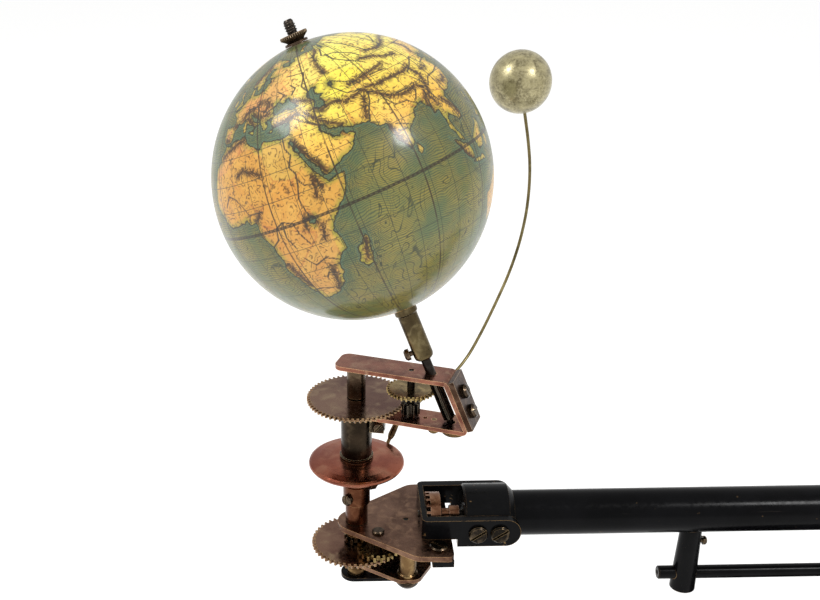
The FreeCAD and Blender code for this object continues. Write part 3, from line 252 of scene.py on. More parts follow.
# for each slot, the colours of its dark, middle and bright patina and of its rubbed edges
METALS = {
    "plate_copper": ((0.085, 0.042, 0.026), (0.155, 0.085, 0.056), (0.25, 0.145, 0.09), (0.62, 0.36, 0.17)),
    "frame_copper": ((0.13, 0.048, 0.032), (0.265, 0.105, 0.068), (0.33, 0.19, 0.12), (0.85, 0.52, 0.27)),
    "backing_copper": ((0.032, 0.016, 0.010), (0.07, 0.036, 0.022), (0.13, 0.08, 0.052), (0.5, 0.36, 0.24)),
    "gear_copper": ((0.105, 0.048, 0.034), (0.195, 0.11, 0.073), (0.29, 0.20, 0.12), (0.62, 0.42, 0.18)),
    "disc_copper": ((0.21, 0.058, 0.036), (0.34, 0.108, 0.062), (0.37, 0.165, 0.10), (0.8, 0.42, 0.24)),
    "crown_copper": ((0.10, 0.043, 0.022), (0.19, 0.09, 0.05), (0.31, 0.17, 0.10), (0.62, 0.40, 0.28)),
    "tube_bronze": ((0.032, 0.02, 0.012), (0.075, 0.047, 0.03), (0.14, 0.10, 0.06), (0.6, 0.5, 0.32)),
    "collar_bronze": ((0.045, 0.015, 0.007), (0.09, 0.033, 0.016), (0.16, 0.068, 0.034), (0.45, 0.28, 0.14)),
    "sleeve_bronze": ((0.012, 0.009, 0.006), (0.032, 0.022, 0.014), (0.08, 0.058, 0.036), (0.80, 0.66, 0.42)),
    "nut_bronze": ((0.06, 0.04, 0.025), (0.15, 0.105, 0.065), (0.28, 0.21, 0.14), (0.5, 0.4, 0.26)),
    "gear_brass": ((0.11, 0.075, 0.028), (0.24, 0.165, 0.068), (0.42, 0.31, 0.14), (0.7, 0.5, 0.2)),
    "fitting_brass": ((0.06, 0.034, 0.015), (0.15, 0.088, 0.038), (0.29, 0.19, 0.085), (0.62, 0.45, 0.22)),
    "sun_brass": BRASS,
    "lamp_brass": BRASS,
    "socket_brass": ((0.06, 0.043, 0.022), (0.13, 0.098, 0.046), (0.24, 0.19, 0.098), (0.5, 0.4, 0.24)),
    "washer_brass": ((0.03, 0.02, 0.014), (0.075, 0.05, 0.034), (0.15, 0.10, 0.07), (0.32, 0.22, 0.14)),
    "wire_brass": ((0.10, 0.08, 0.035), (0.19, 0.15, 0.065), (0.3, 0.25, 0.12), (0.32, 0.26, 0.13)),
    "screw_steel": ((0.02, 0.015, 0.011), (0.07, 0.048, 0.032), (0.17, 0.12, 0.08), (0.42, 0.3, 0.17)),
    "screw_black": ((0.012, 0.010, 0.008), (0.045, 0.034, 0.025), (0.13, 0.095, 0.06), (0.45, 0.31, 0.15)),
    "dark_steel": ((0.010, 0.009, 0.008), (0.035, 0.029, 0.025), (0.10, 0.085, 0.07), (0.30, 0.24, 0.16)),
    "mirror_silver": ((0.42, 0.4, 0.36), (0.66, 0.64, 0.6), (0.8, 0.78, 0.74), (0.85, 0.84, 0.8)),
}
# the number given for the recesses sets how dark the painted shade in a metal's corners is
FINISHES = {
    "plate_copper": dict(rough=(0.2, 0.4)),
    "frame_copper": dict(rough=(0.16, 0.34)),
    "backing_copper": dict(rough=(0.24, 0.42)),
    "gear_copper": dict(rough=(0.12, 0.3), patch=45.0),
    "disc_copper": dict(rough=(0.14, 0.3), patch=40.0),
    "crown_copper": dict(recess_shade_strength=0.5),
    "tube_bronze": dict(grain=UPRIGHT_GRAIN),
    "collar_bronze": dict(grain=ROUND_GRAIN),
    "sleeve_bronze": dict(rough=(0.14, 0.3), grain=ROUND_GRAIN),
    "nut_bronze": dict(rough=(0.3, 0.5)),
    "gear_brass": dict(rough=(0.18, 0.36)),
    "fitting_brass": dict(grain=ROUND_GRAIN),
    "sun_brass": dict(recess_shade_strength=0.4),
    "lamp_brass": dict(recess_shade_strength=0.4, rough=(0.18, 0.4)),
    "socket_brass": dict(rough=(0.24, 0.42)),
    "wire_brass": dict(rough=(0.3, 0.5)),
    "dark_steel": dict(rough=(0.22, 0.42), grain=UPRIGHT_GRAIN),
    "mirror_silver": dict(rough=(0.05, 0.16), recess_shade_strength=0.3),
}
LACQUERS = {
    "base_lacquer": dict(wear=0.5),
    "column_lacquer": dict(grain=UPRIGHT_GRAIN),
    "hub_lacquer": {},
    "tube_lacquer": dict(black=(0.0015, 0.0015, 0.0018), wear=0.3, grain=ALONG_X, rough=(0.12, 0.24)),
    "sleeve_lacquer": dict(wear=0.9),
    "yoke_lacquer": dict(wear=1.0),
    "bracket_lacquer": dict(wear=0.6),
    "rod_lacquer": dict(wear=0.7, grain=ALONG_X),
}


def felt_look():
    shader = Shader("felt", Roughness=0.95, Sheen_Weight=0.6)
    fibre = shader.noise(1500.0, 5.0, 0.7)
    tone = shader.noise(60.0, 4.0)
    colour = shader.mix(shader.ramp(tone, 0.3, 0.7), (0.02, 0.07, 0.035), (0.04, 0.11, 0.06))
    shader.set("Base Color", shader.lay(colour, (0.07, 0.16, 0.09), shader.ramp(fibre, 0.45, 0.7)))
    shader.bump(fibre, 0.4 * MM, 0.8)
    return shader.material


def wax_look():
    """Candle wax, with the wick as a dark spot on its axis."""
    shader = Shader("wax", Subsurface_Weight=0.35, Subsurface_Scale=0.004, Roughness=0.42)
    shader.surface.inputs["Subsurface Radius"].default_value = (1.0, 0.7, 0.4)
    tone = shader.noise(120.0, 4.0)
    off_axis = shader.vector("LENGTH", shader.vector("MULTIPLY", shader.place, (1, 1, 0)), out="Value")
    colour = shader.mix(shader.ramp(tone, 0.3, 0.7), (0.74, 0.66, 0.48), (0.84, 0.79, 0.64))
    wick = (0.05, 0.04, 0.035)
    shader.set("Base Color", shader.mix(shader.ramp(off_axis, 0.8 * MM, 1.4 * MM), wick, colour))
    shader.bump(tone, 0.3 * MM, 0.5)
    return shader.material


def make_looks():
    """A material for every slot of the CAD nodes that stay in view."""
    looks = {"felt": felt_look(), "wax": wax_look()}
    for name, tones in METALS.items():
        looks[name] = aged_metal(name, *tones, **FINISHES.get(name, {}))
    for name, finish in LACQUERS.items():
        looks[name] = black_lacquer(name, **finish)
    return looks


LOOKS = make_looks()


def dress_cad():
    """Give every CAD node the look of its slot; the globe's and the Moon's slots have none here."""
    for part in frame["record"]["subparts"]:
        look = LOOKS.get(part["material_slot"])
        if look is not None:
            for holder in frame["nodes"][part["node"]].material_slots:
                holder.material = look


# ---------------------------------------------------------------- the printed globe

LANDS = {
    "africa": [
        (-6, 36), (-2, 35), (3, 37), (10, 37.3), (11, 34), (15, 32.3), (19, 30.3), (20.5, 32.8), (25, 31.6),
        (29, 31), (32.3, 31.2), (34, 28), (35.5, 24), (37.2, 20.8), (39.5, 15.5), (43.2, 12), (44.5, 10.5),
        (51, 12), (51, 10.5), (48, 4.5), (42.5, -1.5), (39.5, -4.5), (39, -7), (40.6, -11), (40.7, -15),
        (36.5, -18.5), (34.8, -20), (35.4, -23.8), (32.7, -26), (32.5, -28.6), (30, -31.2), (27, -33.6),
        (22.5, -34.1), (20, -34.8), (18.3, -34), (18.2, -31.8), (15.2, -27), (14.4, -22.5), (11.8, -17.5),
        (13.6, -12.3), (13, -9), (12.2, -6), (9.3, -1.5), (9.6, 3.8), (8.5, 4.6), (5.5, 4.4), (4, 6.4),
        (-2, 4.8), (-7.5, 4.4), (-11.5, 6.9), (-13.3, 9), (-16.7, 12.4), (-17.4, 14.7), (-16.2, 19),
        (-17, 21), (-14.8, 25.8), (-13, 27.8), (-9.8, 29.8), (-9.5, 32), (-6.8, 34)],
    "eurasia": [
        (32.5, 31.2), (34.3, 31.3), (35.8, 35.5), (36, 36.8), (32.5, 36.1), (30.6, 36.8), (27.5, 36.8),
        (26.3, 39.4), (29, 41), (31.5, 41.3), (35, 42), (38, 41), (41.5, 41.5), (38.5, 44.3), (37.5, 46.8),
        (35, 46.2), (35.3, 45.2), (33.5, 44.5), (32.6, 45.8), (30.8, 46.5), (28.7, 44), (27.7, 42.5),
        (28.6, 41.2), (26, 40.8), (23.8, 40.5), (22.8, 39.5), (24, 38), (23, 36.5), (21.5, 37), (21, 38.5),
        (19.4, 41.5), (16, 43.3), (13.7, 45.2), (12.3, 45.2), (13.6, 43.5), (16, 41.8), (18.4, 40.2),
        (17, 40.4), (16.5, 39), (15.8, 38), (16, 40), (13, 41.2), (10.5, 42.8), (8.8, 44.4), (6.2, 43.1),
        (3.2, 43.2), (3, 41.8), (0, 39.8), (-0.5, 38), (-2, 36.8), (-5.5, 36.1), (-8.8, 37), (-9.3, 39),
        (-8.8, 43.2), (-1.8, 43.4), (-1.2, 46), (-4.6, 48.2), (-1.5, 49.5), (1.6, 50.7), (4.5, 52.5),
        (8.2, 53.8), (8.2, 57), (10.4, 57.6), (10, 55), (11, 54), (14.2, 54), (18.6, 54.6), (21, 55.5),
        (22, 57.6), (24.3, 57.5), (23.5, 59.2), (28, 59.6), (29.5, 60.2), (25, 60.2), (21.5, 60.8),
        (21.5, 63), (25.3, 65), (22.5, 65.8), (19, 63.3), (17.2, 61), (18.5, 59.8), (16.5, 58.5),
        (16, 56.3), (13, 55.5), (11.2, 59), (8, 58.2), (5.2, 59.2), (5, 62), (10, 64), (14, 67.5), (20, 70),
        (26, 71), (31, 70), (40, 67.7), (41, 66.7), (33, 66.6), (35, 64.4), (38, 64), (40, 65), (44, 66),
        (44, 68.3), (54, 68.7), (60, 69), (67, 69), (69, 73), (73, 71.5), (73, 67.5), (75, 72), (80, 73),
        (90, 75.5), (104, 77.6), (113, 74), (128, 73), (140, 72.5), (160, 70), (170, 70), (180, 69),
        (190, 66.2), (182, 65), (178, 62.5), (170, 60), (163, 60), (162, 56), (157, 51.3), (156, 57),
        (163, 61.8), (155, 59.4), (143, 59.3), (135.5, 54.7), (141, 53), (140, 48.5), (135.5, 44),
        (130.7, 42.4), (129.5, 40.5), (127.5, 39.5), (129.4, 37), (129, 35.2), (126.4, 34.5), (126.8, 37.2),
        (125, 39.5), (121.2, 39), (122, 40.6), (118, 39), (119, 37.2), (122.5, 37), (119.3, 35),
        (121.8, 31.5), (121.5, 28.5), (117, 23.5), (112, 21.7), (108.3, 21.6), (106, 19.5), (109, 13),
        (108.5, 11), (105, 8.7), (105, 10.5), (102.3, 12.2), (100.9, 13.4), (99.2, 11), (100.5, 7),
        (103.4, 3.5), (104.2, 1.4), (101, 3), (100.2, 6), (98.3, 8.5), (98.6, 12), (97.6, 16.5), (94.3, 16),
        (94, 19), (91.8, 22.5), (88.5, 21.7), (86.8, 20.8), (82.3, 16.6), (80.2, 15.5), (80, 11),
        (77.5, 8.1), (74.8, 13), (73, 18), (72.7, 21), (70, 21), (69, 22.4), (67.2, 24.8), (61.5, 25.2),
        (57.2, 25.8), (56.5, 27), (52, 27.6), (50, 30), (48, 30), (48.2, 28.5), (50.2, 26.5), (51.5, 25),
        (54, 24.2), (56.2, 26), (57, 24), (59.8, 22.4), (57.8, 19), (55.2, 17.3), (52, 15.6), (45, 12.8),
        (43.3, 12.8), (42.7, 16.5), (39.2, 21), (36.5, 26), (35, 28.2), (34.8, 29.5), (33, 28.5),
        (32.5, 30)],
    "madagascar": [(49.3, -12), (50.4, -15.8), (47.5, -24.9), (45.2, -25.5), (43.4, -22.5), (44.4, -19.8),
                   (44.3, -16.3), (47, -15.2)],
    "ceylon": [(79.8, 8.2), (80.3, 9.6), (81.8, 7), (80.5, 6), (79.8, 7)],
    "sumatra": [(95.3, 5.6), (98, 4), (103.5, 0.5), (106, -3), (105.8, -5.8), (102.3, -4), (98.5, 1.5)],
    "java": [(105.2, -6.7), (108.5, -6.7), (112.8, -7), (114.5, -8.5), (108, -7.8)],
    "borneo": [(109, 1.5), (111.5, 2.5), (115, 5), (117, 7), (119, 5), (117.8, 1), (116, -3.8), (111, -3.3),
               (110, -1.3)],
    "celebes": [(119.5, -5.5), (119, -2.5), (120.2, 1), (125, 1.5), (121, 0.3), (123, -1), (122.5, -4.5)],
    "new_guinea": [(131, -0.8), (134.3, -1), (138, -1.7), (144.5, -4), (147.8, -6.2), (150.5, -10.4),
                   (146.5, -9), (142.5, -9.2), (138, -8.2), (138, -5.5), (133, -4)],
    "australia": [(113.5, -22), (114, -26.5), (115.7, -32), (118, -35), (124, -33.5), (131, -31.5),
                  (135.5, -34.8), (138, -33), (140, -37.8), (144, -38.5), (147, -38.5), (150, -37),
                  (153.5, -30), (153, -25), (149, -20.5), (146, -19), (145, -14.8), (142.5, -10.8),
                  (141.5, -14.5), (140.5, -17.6), (136, -15.5), (136.8, -12.2), (132.5, -11.4), (129.5, -15),
                  (126, -14), (122.3, -18), (117, -20.7)],
    "tasmania": [(144.7, -40.8), (148.2, -41), (147, -43.6), (145.5, -42.6)],
    "new_zealand_north": [(172.8, -34.6), (175.5, -36.8), (178.3, -37.8), (175.3, -41.5), (174, -39.3),
                          (174.8, -37)],
    "new_zealand_south": [(172.8, -40.6), (174, -41.8), (170.8, -45.8), (168.3, -46.6), (166.5, -45.8),
                          (171, -42)],
    "japan": [(130, 33.2), (131, 31.2), (132, 33.3), (135.8, 33.6), (140, 35.2), (141.8, 39.5), (140.5, 41.2),
              (139.5, 38.4), (136.8, 37.2), (135.5, 35.5), (131, 34.4)],
    "hokkaido": [(140, 42), (143.2, 42), (145.3, 43.4), (142, 45.3), (141.3, 43.2)],
    "sakhalin": [(142, 46), (143.5, 49), (143, 54), (142, 50)],
    "luzon": [(120, 16.5), (121, 18.6), (122.3, 18.3), (121.5, 14.5), (124, 12.8), (120.7, 14)],
    "mindanao": [(122, 7), (125.6, 5.8), (126.4, 8), (125.4, 9.8), (123.5, 8.5)],
    "formosa": [(120.1, 23), (121.5, 25.2), (120.9, 22)],
    "britain": [(-5.5, 50.1), (1.4, 51.2), (1.5, 52.7), (-0.2, 54), (-2, 56), (-2, 57.6), (-5, 58.6),
                (-5.5, 56), (-3, 54), (-4.8, 53), (-5, 51.7)],
    "ireland": [(-10, 52), (-6.3, 52.2), (-6, 54.2), (-8, 55.2), (-10, 54)],
    "iceland": [(-24, 65.5), (-18.5, 63.4), (-13.6, 65), (-16, 66.5), (-22.5, 66.4)],
    "sicily": [(12.5, 38), (15.5, 38.2), (15.1, 36.8)],
    "sardinia": [(8.3, 41), (9.4, 43), (9.6, 39.2), (8.4, 39)],
    "crete": [(23.6, 35.4), (26.2, 35.3), (25, 34.9)],
    "cyprus": [(32.4, 34.9), (34.4, 35.6), (33.8, 34.9)],
    "novaya_zemlya": [(52, 71), (57, 70.6), (58, 73.5), (68, 76.8), (60, 76), (54, 73)],
    "svalbard": [(11, 79), (17, 76.7), (27, 80)],
    "greenland": [(-45, 60), (-40, 65), (-22, 70.5), (-18, 77), (-12, 81.5), (-32, 83.5), (-60, 82),
                  (-72, 78.3), (-58, 75.5), (-54, 70), (-52, 65)],
    "north_america": [
        (-168, 65.7), (-161, 64.5), (-165, 61), (-157.5, 58.7), (-164, 54.6), (-152, 59.5), (-146, 60.8),
        (-135, 58.5), (-130, 54.5), (-124, 48.5), (-124, 41), (-118.5, 34), (-115, 30), (-112.2, 25),
        (-110, 23.2), (-114.5, 31.5), (-109.5, 26), (-105.5, 20.3), (-97, 15.8), (-92, 14.3), (-87.5, 12.8),
        (-83, 8.3), (-79.5, 8.8), (-77.5, 8), (-79.5, 9.5), (-83.5, 11), (-83.3, 15), (-88.3, 15.8),
        (-87, 21.4), (-90.5, 21), (-91.5, 18.6), (-95.8, 18.5), (-97.7, 22.5), (-97.2, 27.8), (-94, 29.6),
        (-89.3, 29.2), (-84.5, 30), (-82.7, 28), (-81.3, 25.2), (-80, 27), (-81.3, 31), (-76, 35),
        (-75.5, 38), (-70.5, 41.8), (-70, 44), (-65, 45), (-61, 46), (-65, 48.5), (-60, 50), (-55.8, 52.3),
        (-61.5, 57), (-65, 60), (-70, 61), (-77.5, 62.3), (-78, 58.5), (-77, 55), (-79.5, 51.5),
        (-82.3, 53), (-82.3, 55.3), (-92.5, 57), (-94.5, 60), (-93, 62.5), (-87, 64.3), (-82, 66.5),
        (-81.5, 69.2), (-88, 68.5), (-94, 72), (-97, 68), (-108, 68), (-115, 68.3), (-128, 70), (-136, 69),
        (-156.5, 71.3), (-166, 68.3)],
    "baffin": [(-62, 66), (-68, 62.5), (-72, 64.5), (-78, 65), (-72, 68.5), (-80, 70), (-89, 71), (-80, 73.8),
               (-72, 71.5), (-67, 69)],
    "ellesmere": [(-85, 76.5), (-77, 76.5), (-62, 82.5), (-80, 83), (-92, 81), (-88, 78)],
    "victoria": [(-105, 69), (-115, 69.5), (-118, 72), (-110, 73), (-105, 72)],
    "newfoundland": [(-59, 47.6), (-53, 46.7), (-55.5, 51.5)],
    "cuba": [(-85, 22), (-80.5, 23.2), (-74.3, 20.2), (-77.5, 19.9), (-79, 21.5)],
    "hispaniola": [(-74.3, 18.3), (-72.8, 19.9), (-68.4, 18.6), (-71.5, 17.8)],
    "south_america": [
        (-77.5, 8.5), (-72, 12), (-68, 11), (-62, 10.7), (-57, 6), (-51.5, 4.2), (-50, 0), (-44.5, -2.5),
        (-38.5, -3.7), (-35, -6), (-35.2, -9.5), (-39, -13), (-39.2, -18), (-41, -22), (-45, -23.5),
        (-48.6, -26), (-50, -30), (-53.5, -34), (-58, -34), (-57, -36.5), (-62, -39), (-65, -41),
        (-65.3, -45), (-69, -50.5), (-68.5, -52.5), (-65.5, -54.8), (-71, -54.5), (-75, -50), (-74.5, -44),
        (-73.5, -38), (-71.5, -30), (-70.2, -20), (-76, -14), (-81.2, -6), (-80, -2.5), (-80, 0.8),
        (-77.2, 4)],
}
LAKES = {
    "caspian": [(50, 46.5), (47.5, 45), (47.5, 43), (49.3, 40.5), (49, 38), (51, 36.7), (54, 37), (53.8, 39),
                (52.7, 40.5), (54, 42), (51, 43), (51.2, 45), (53, 46.5)],
    "aral": [(58.5, 44), (61, 44), (61, 46.5), (59, 46)],
    "victoria_nyanza": [(31.8, -1), (33.3, -2.4), (34.2, -0.6), (33.2, 0.4), (32, 0.2)],
    "superior": [(-92, 47), (-87, 46.6), (-84.7, 47), (-87, 48.8)],
    "michigan": [(-87.8, 42), (-86.4, 42), (-85.6, 45.6), (-87.5, 45)],
    "baikal": [(104, 51.6), (107, 52.3), (109.8, 55.6), (108.6, 54.6)],
}
RANGES = [
    [(72, 36), (76, 33.5), (80, 30.5), (85, 28.3), (90, 28), (95, 29), (98, 27)],
    [(62, 35), (67, 35.5), (72, 36.5)],
    [(74, 37), (80, 36), (88, 36.5), (96, 36), (102, 37.5)],
    [(68, 41), (75, 41.8), (82, 42.5), (90, 43.5)],
    [(84, 50), (90, 49), (97, 46), (104, 45)],
    [(67, 26), (68.5, 30), (71, 34)],
    [(44, 37), (48, 33), (52, 30), (57, 27.5)],
    [(48, 37.5), (52, 36), (57, 37), (61, 36)],
    [(38, 44), (43, 43), (48, 41.3)],
    [(29, 37), (34, 37.3), (40, 38.5)],
    [(60, 51), (59, 56), (60, 62), (66, 67.5)],
    [(6.5, 44.5), (8, 46.3), (12, 47), (15, 47.2)],
    [(18, 49), (23, 48.8), (26, 46.5), (23, 45.3)],
    [(15, 45), (20, 42.5), (25, 42.7)],
    [(-1.5, 43), (2.5, 42.5)],
    [(-6, 38), (-3, 37.3)],
    [(7, 60.5), (12, 63.5), (17, 68)],
    [(10.5, 44.3), (14, 41.8), (16, 39.5)],
    [(-8, 31), (-3, 33), (4, 35), (9, 35.8)],
    [(38, 7), (38.5, 10), (39, 14), (41, 9.5)],
    [(29.5, -3), (30.5, 1.5), (34, -1), (36, -3.5), (34.5, -9)],
    [(28, -31.5), (30, -28.5), (30.5, -25), (31.5, -20)],
    [(9.5, 5), (12, 7.5)],
    [(4, 23), (8, 24.5), (17, 21)],
    [(14, -14), (16, -20), (17, -26)],
    [(73.5, 20), (75, 14), (77, 9.5)],
    [(94, 17), (94.5, 22), (97, 25), (99, 19)],
    [(99, 24), (101, 28), (103, 32), (101, 36)],
    [(107, 33.5), (112, 34)],
    [(110, 26), (114, 25), (117, 27)],
    [(119, 50), (122, 46), (118, 42)],
    [(110, 53), (120, 56), (132, 57)],
    [(92, 53), (100, 51.5), (108, 52.5)],
    [(128, 66), (138, 63), (150, 62)],
    [(35.5, 28), (39.5, 22), (43, 17), (44.5, 13.7)],
    [(46.5, -22), (47.5, -17.5), (49, -14)],
    [(97, 4), (100, -1), (104, -5)],
    [(103, 20), (107, 15), (108, 12)],
    [(-122, 41), (-121, 48), (-130, 56), (-145, 62)],
    [(-106, 32), (-107, 40), (-113, 48), (-122, 57)],
    [(-105, 25), (-99, 18.5), (-91, 15.5)],
    [(-85, 34), (-80, 38), (-74, 43)],
    [(-74, 8), (-77, 1), (-78.5, -6), (-74, -13), (-68.5, -18), (-69.5, -30), (-71.5, -42), (-72.5, -50)],
    [(145, -17), (149, -27), (148, -36)],
    [(133, -23.5), (129, -23)],
    [(-43, -20), (-49, -26)],
]
RIVERS = [
    [(31, 31), (31, 27), (33, 24), (31, 20), (33, 17), (32.5, 13), (31, 8), (32, 3), (33, 0)],
    [(32.5, 15.5), (35, 12), (37.5, 11.5)],
    [(6, 5), (6.5, 8), (3.5, 12), (0, 15), (-4, 16.5), (-8, 12.5)],
    [(12.5, -6), (16, -4), (17.5, 0.5), (21, 2), (25, 0.5), (26, -4), (28.5, -9)],
    [(21, 2), (20, -4), (22, -9)],
    [(36, -18.5), (31, -16), (26, -17.8), (23, -14)],
    [(16.5, -28.6), (21, -28.8), (26, -30)],
    [(33.5, -25), (29, -22.3), (27, -24.5)],
    [(6.5, 8), (10, 8), (14, 8)],
    [(48, 30.5), (44, 33.5), (42.5, 36.5), (40, 38)],
    [(47, 31), (41.5, 34.3), (38, 37)],
    [(67.5, 24), (69, 27.5), (72, 31.5), (73.5, 35), (80, 32.5)],
    [(90, 22.5), (86, 25.3), (81, 25.6), (78, 29.5)],
    [(90.5, 24), (94, 27.5), (91, 29.3), (84, 29.5)],
    [(82, 16.8), (76, 19.5)],
    [(80, 16), (76, 16.5)],
    [(48, 46), (45.5, 49), (48, 53), (49, 55.8), (43.5, 56.3), (37, 57.3)],
    [(39, 47), (42, 49.5), (39, 52)],
    [(32, 46.6), (35, 48.5), (31, 51)],
    [(29.5, 45.2), (24, 43.8), (19, 45.5), (17, 48), (10, 48)],
    [(70, 66.5), (66, 61), (76, 59.5), (84, 55), (86, 52)],
    [(69, 61), (71, 56), (77, 52), (84, 47.5)],
    [(83, 70), (88, 64), (91, 58), (94, 52)],
    [(127, 72), (124, 64), (118, 60), (107, 55)],
    [(140, 53), (135, 49.5), (127, 50), (118, 50)],
    [(119, 37.5), (112, 36), (110, 40.5), (104, 37.5), (98, 35)],
    [(121, 31.5), (113, 30), (106, 29.5), (102, 26.5), (97, 33)],
    [(106.5, 10), (105, 16), (101, 20), (98, 28)],
    [(95, 16), (95.5, 21), (97.5, 26)],
    [(59.5, 43.5), (65, 38), (72, 37)],
    [(61, 46), (67, 43), (72, 41)],
    [(80, 41), (86, 41), (90, 40.5)],
    [(-90, 30), (-91, 35), (-90, 41), (-94, 46)],
    [(-90, 39), (-97, 41), (-104, 47)],
    [(-50, -1), (-58, -3), (-66, -3), (-74, -5)],
    [(-58, -34), (-59, -28), (-55, -22)],
    [(-134, 68), (-122, 62), (-113, 60)],
]
# a printed colour for each region, by the region's middle: longitude, latitude, red, green, blue
TINTS = [
    (10, 20, 0.8, 0.47, 0.15), (25, 5, 0.82, 0.44, 0.13), (0, 12, 0.8, 0.5, 0.16),
    (28, -18, 0.78, 0.46, 0.2), (20, -8, 0.8, 0.45, 0.17), (40, 8, 0.8, 0.5, 0.16),
    (31, 27, 0.72, 0.52, 0.18), (46, -19, 0.74, 0.58, 0.14), (22, -31, 0.76, 0.48, 0.22),
    (46, 24, 0.86, 0.66, 0.24), (55, 33, 0.86, 0.66, 0.2), (35, 39, 0.84, 0.62, 0.26),
    (62, 40, 0.86, 0.68, 0.16), (66, 34, 0.82, 0.58, 0.2), (78, 23, 0.84, 0.66, 0.26),
    (88, 31, 0.82, 0.6, 0.2), (105, 32, 0.82, 0.62, 0.2), (100, 46, 0.84, 0.66, 0.26),
    (75, 60, 0.86, 0.7, 0.26), (110, 62, 0.84, 0.68, 0.28), (150, 64, 0.84, 0.66, 0.26),
    (45, 56, 0.84, 0.6, 0.3), (35, 62, 0.8, 0.6, 0.3), (25, 50, 0.8, 0.52, 0.3), (12, 50, 0.8, 0.42, 0.26),
    (2, 47, 0.76, 0.52, 0.26), (-4, 40, 0.8, 0.42, 0.22), (12, 43, 0.8, 0.5, 0.24),
    (22, 42, 0.76, 0.4, 0.24), (15, 62, 0.72, 0.58, 0.26), (27, 64, 0.82, 0.56, 0.3),
    (-3, 54, 0.82, 0.44, 0.3), (100, 16, 0.86, 0.66, 0.16), (102, 2, 0.76, 0.54, 0.18),
    (114, 0, 0.74, 0.56, 0.18), (122, 12, 0.76, 0.52, 0.22), (127, 37, 0.82, 0.5, 0.26),
    (138, 36, 0.8, 0.46, 0.26), (140, -6, 0.74, 0.58, 0.2), (122, -26, 0.82, 0.56, 0.26),
    (146, -25, 0.8, 0.5, 0.26), (172, -41, 0.8, 0.5, 0.24), (-100, 60, 0.8, 0.56, 0.3),
    (-98, 38, 0.78, 0.6, 0.26), (-150, 64, 0.82, 0.62, 0.28), (-102, 23, 0.78, 0.5, 0.22),
    (-42, 74, 0.82, 0.74, 0.52), (-55, -10, 0.76, 0.6, 0.22), (-74, 2, 0.8, 0.5, 0.2),
    (-65, -34, 0.8, 0.58, 0.24), (-73, -12, 0.82, 0.6, 0.22), (-78, 20, 0.8, 0.5, 0.22),
]


def segment_distance(longitudes, latitudes, stretch, start, end):
    """Distance in degrees to one straight stretch of a map line."""
    along_x = (end[0] - start[0]) * stretch
    along_y = end[1] - start[1]
    from_x = (longitudes - start[0]) * stretch
    from_y = latitudes - start[1]
    share = (from_x * along_x + from_y * along_y) / (along_x ** 2 + along_y ** 2 + 1e-9)
    share = np.clip(share, 0, 1)
    return np.hypot(from_x - share * along_x, from_y - share * along_y)


def route_distance(longitudes, latitudes, routes, furthest=30.0):
    """Distance in degrees to the nearest of several open routes."""
    nearest = np.full(longitudes.shape, furthest)
    stretch = np.cos(np.radians(latitudes))
    for route in routes:
        for start, end in zip(route, route[1:]):
            nearest = np.minimum(nearest, segment_distance(longitudes, latitudes, stretch, start, end))
    return nearest


def outline_distance(longitudes, latitudes, outline):
    """Signed distance in degrees from points to a closed outline, positive inside."""
    closed = outline + outline[:1]
    inside = np.zeros(longitudes.shape, dtype=bool)
    for (x0, y0), (x1, y1) in zip(closed, closed[1:]):
        crosses = (y0 > latitudes) != (y1 > latitudes)
        reach = (x1 - x0) * (latitudes - y0) / (y1 - y0 if y1 != y0 else 1e-9) + x0
        inside ^= crosses & (longitudes < reach)
    nearest = route_distance(longitudes, latitudes, [closed], furthest=400.0)
    return np.where(inside, nearest, -nearest)


def land_field(longitudes, latitudes):
    """Signed distance to the coast over the whole globe, positive on land."""
    field = np.full(longitudes.shape, -40.0)
    for outline in LANDS.values():
        for turn in (0, 360):
            if turn and max(x for x, _ in outline) <= 180:
                continue
            field = np.maximum(field, outline_distance(longitudes + turn, latitudes, outline))
    for outline in LAKES.values():
        field = np.minimum(field, -outline_distance(longitudes, latitudes, outline))
    ice_edge = -71 + 3.5 * np.sin(np.radians(longitudes * 2 + 40)) + 1.5 * np.sin(np.radians(longitudes * 5))
    return np.maximum(field, ice_edge - latitudes)


def on_unit_ball(longitudes, latitudes):
    """Points on a ball of radius 1, from degrees."""
    east, north = np.radians(longitudes), np.radians(latitudes)
    return np.stack([np.cos(north) * np.cos(east), np.cos(north) * np.sin(east), np.sin(north)], axis=-1)


# how the printer's colours have aged, and the painted light that makes the lands brighter north and east of
# the Red Sea, on the globe's lit upper side
AGED_TONE = (1.0, 0.86, 0.5)
PAPER_TONE = 0.84
LIT_SIDE_TONE = (0.88, 0.82, 0.52)


def region_tints_and_light(longitudes, latitudes):
    """The printed colour of each point's region, with painted light that brightens it north and east of the
    Red Sea, and how near it is to the region's border.
    """
    points = on_unit_ball(longitudes, latitudes)
    gaps = []
    for longitude, latitude, *_ in TINTS:
        middle = on_unit_ball(longitude, latitude)
        gaps.append(np.degrees(np.arccos(np.clip(points @ middle, -1, 1))))
    gaps = np.stack(gaps)
    nearest, following = np.sort(gaps, axis=0)[:2]
    colours = (np.array([tint_and_light[2:] for tint_and_light in TINTS]) * AGED_TONE)[np.argmin(gaps, axis=0)]
    # painted light: the lands on the globe's lit upper side, north and east of the Red Sea, are made brighter
    # and more golden
    lit_side = np.clip((latitudes - 14) / 20, 0, 1) * np.clip((longitudes - 30) / 16, 0, 1)
    return np.clip(colours * (PAPER_TONE + lit_side[:, None] * LIT_SIDE_TONE), 0, 1.0), following - nearest


def smooth_mesh(name, points, faces):
    mesh = bpy.data.meshes.new(name)
    mesh.from_pydata(points, [], faces)
    mesh.polygons.foreach_set("use_smooth", [True] * len(mesh.polygons))
    mesh.update()
    return mesh


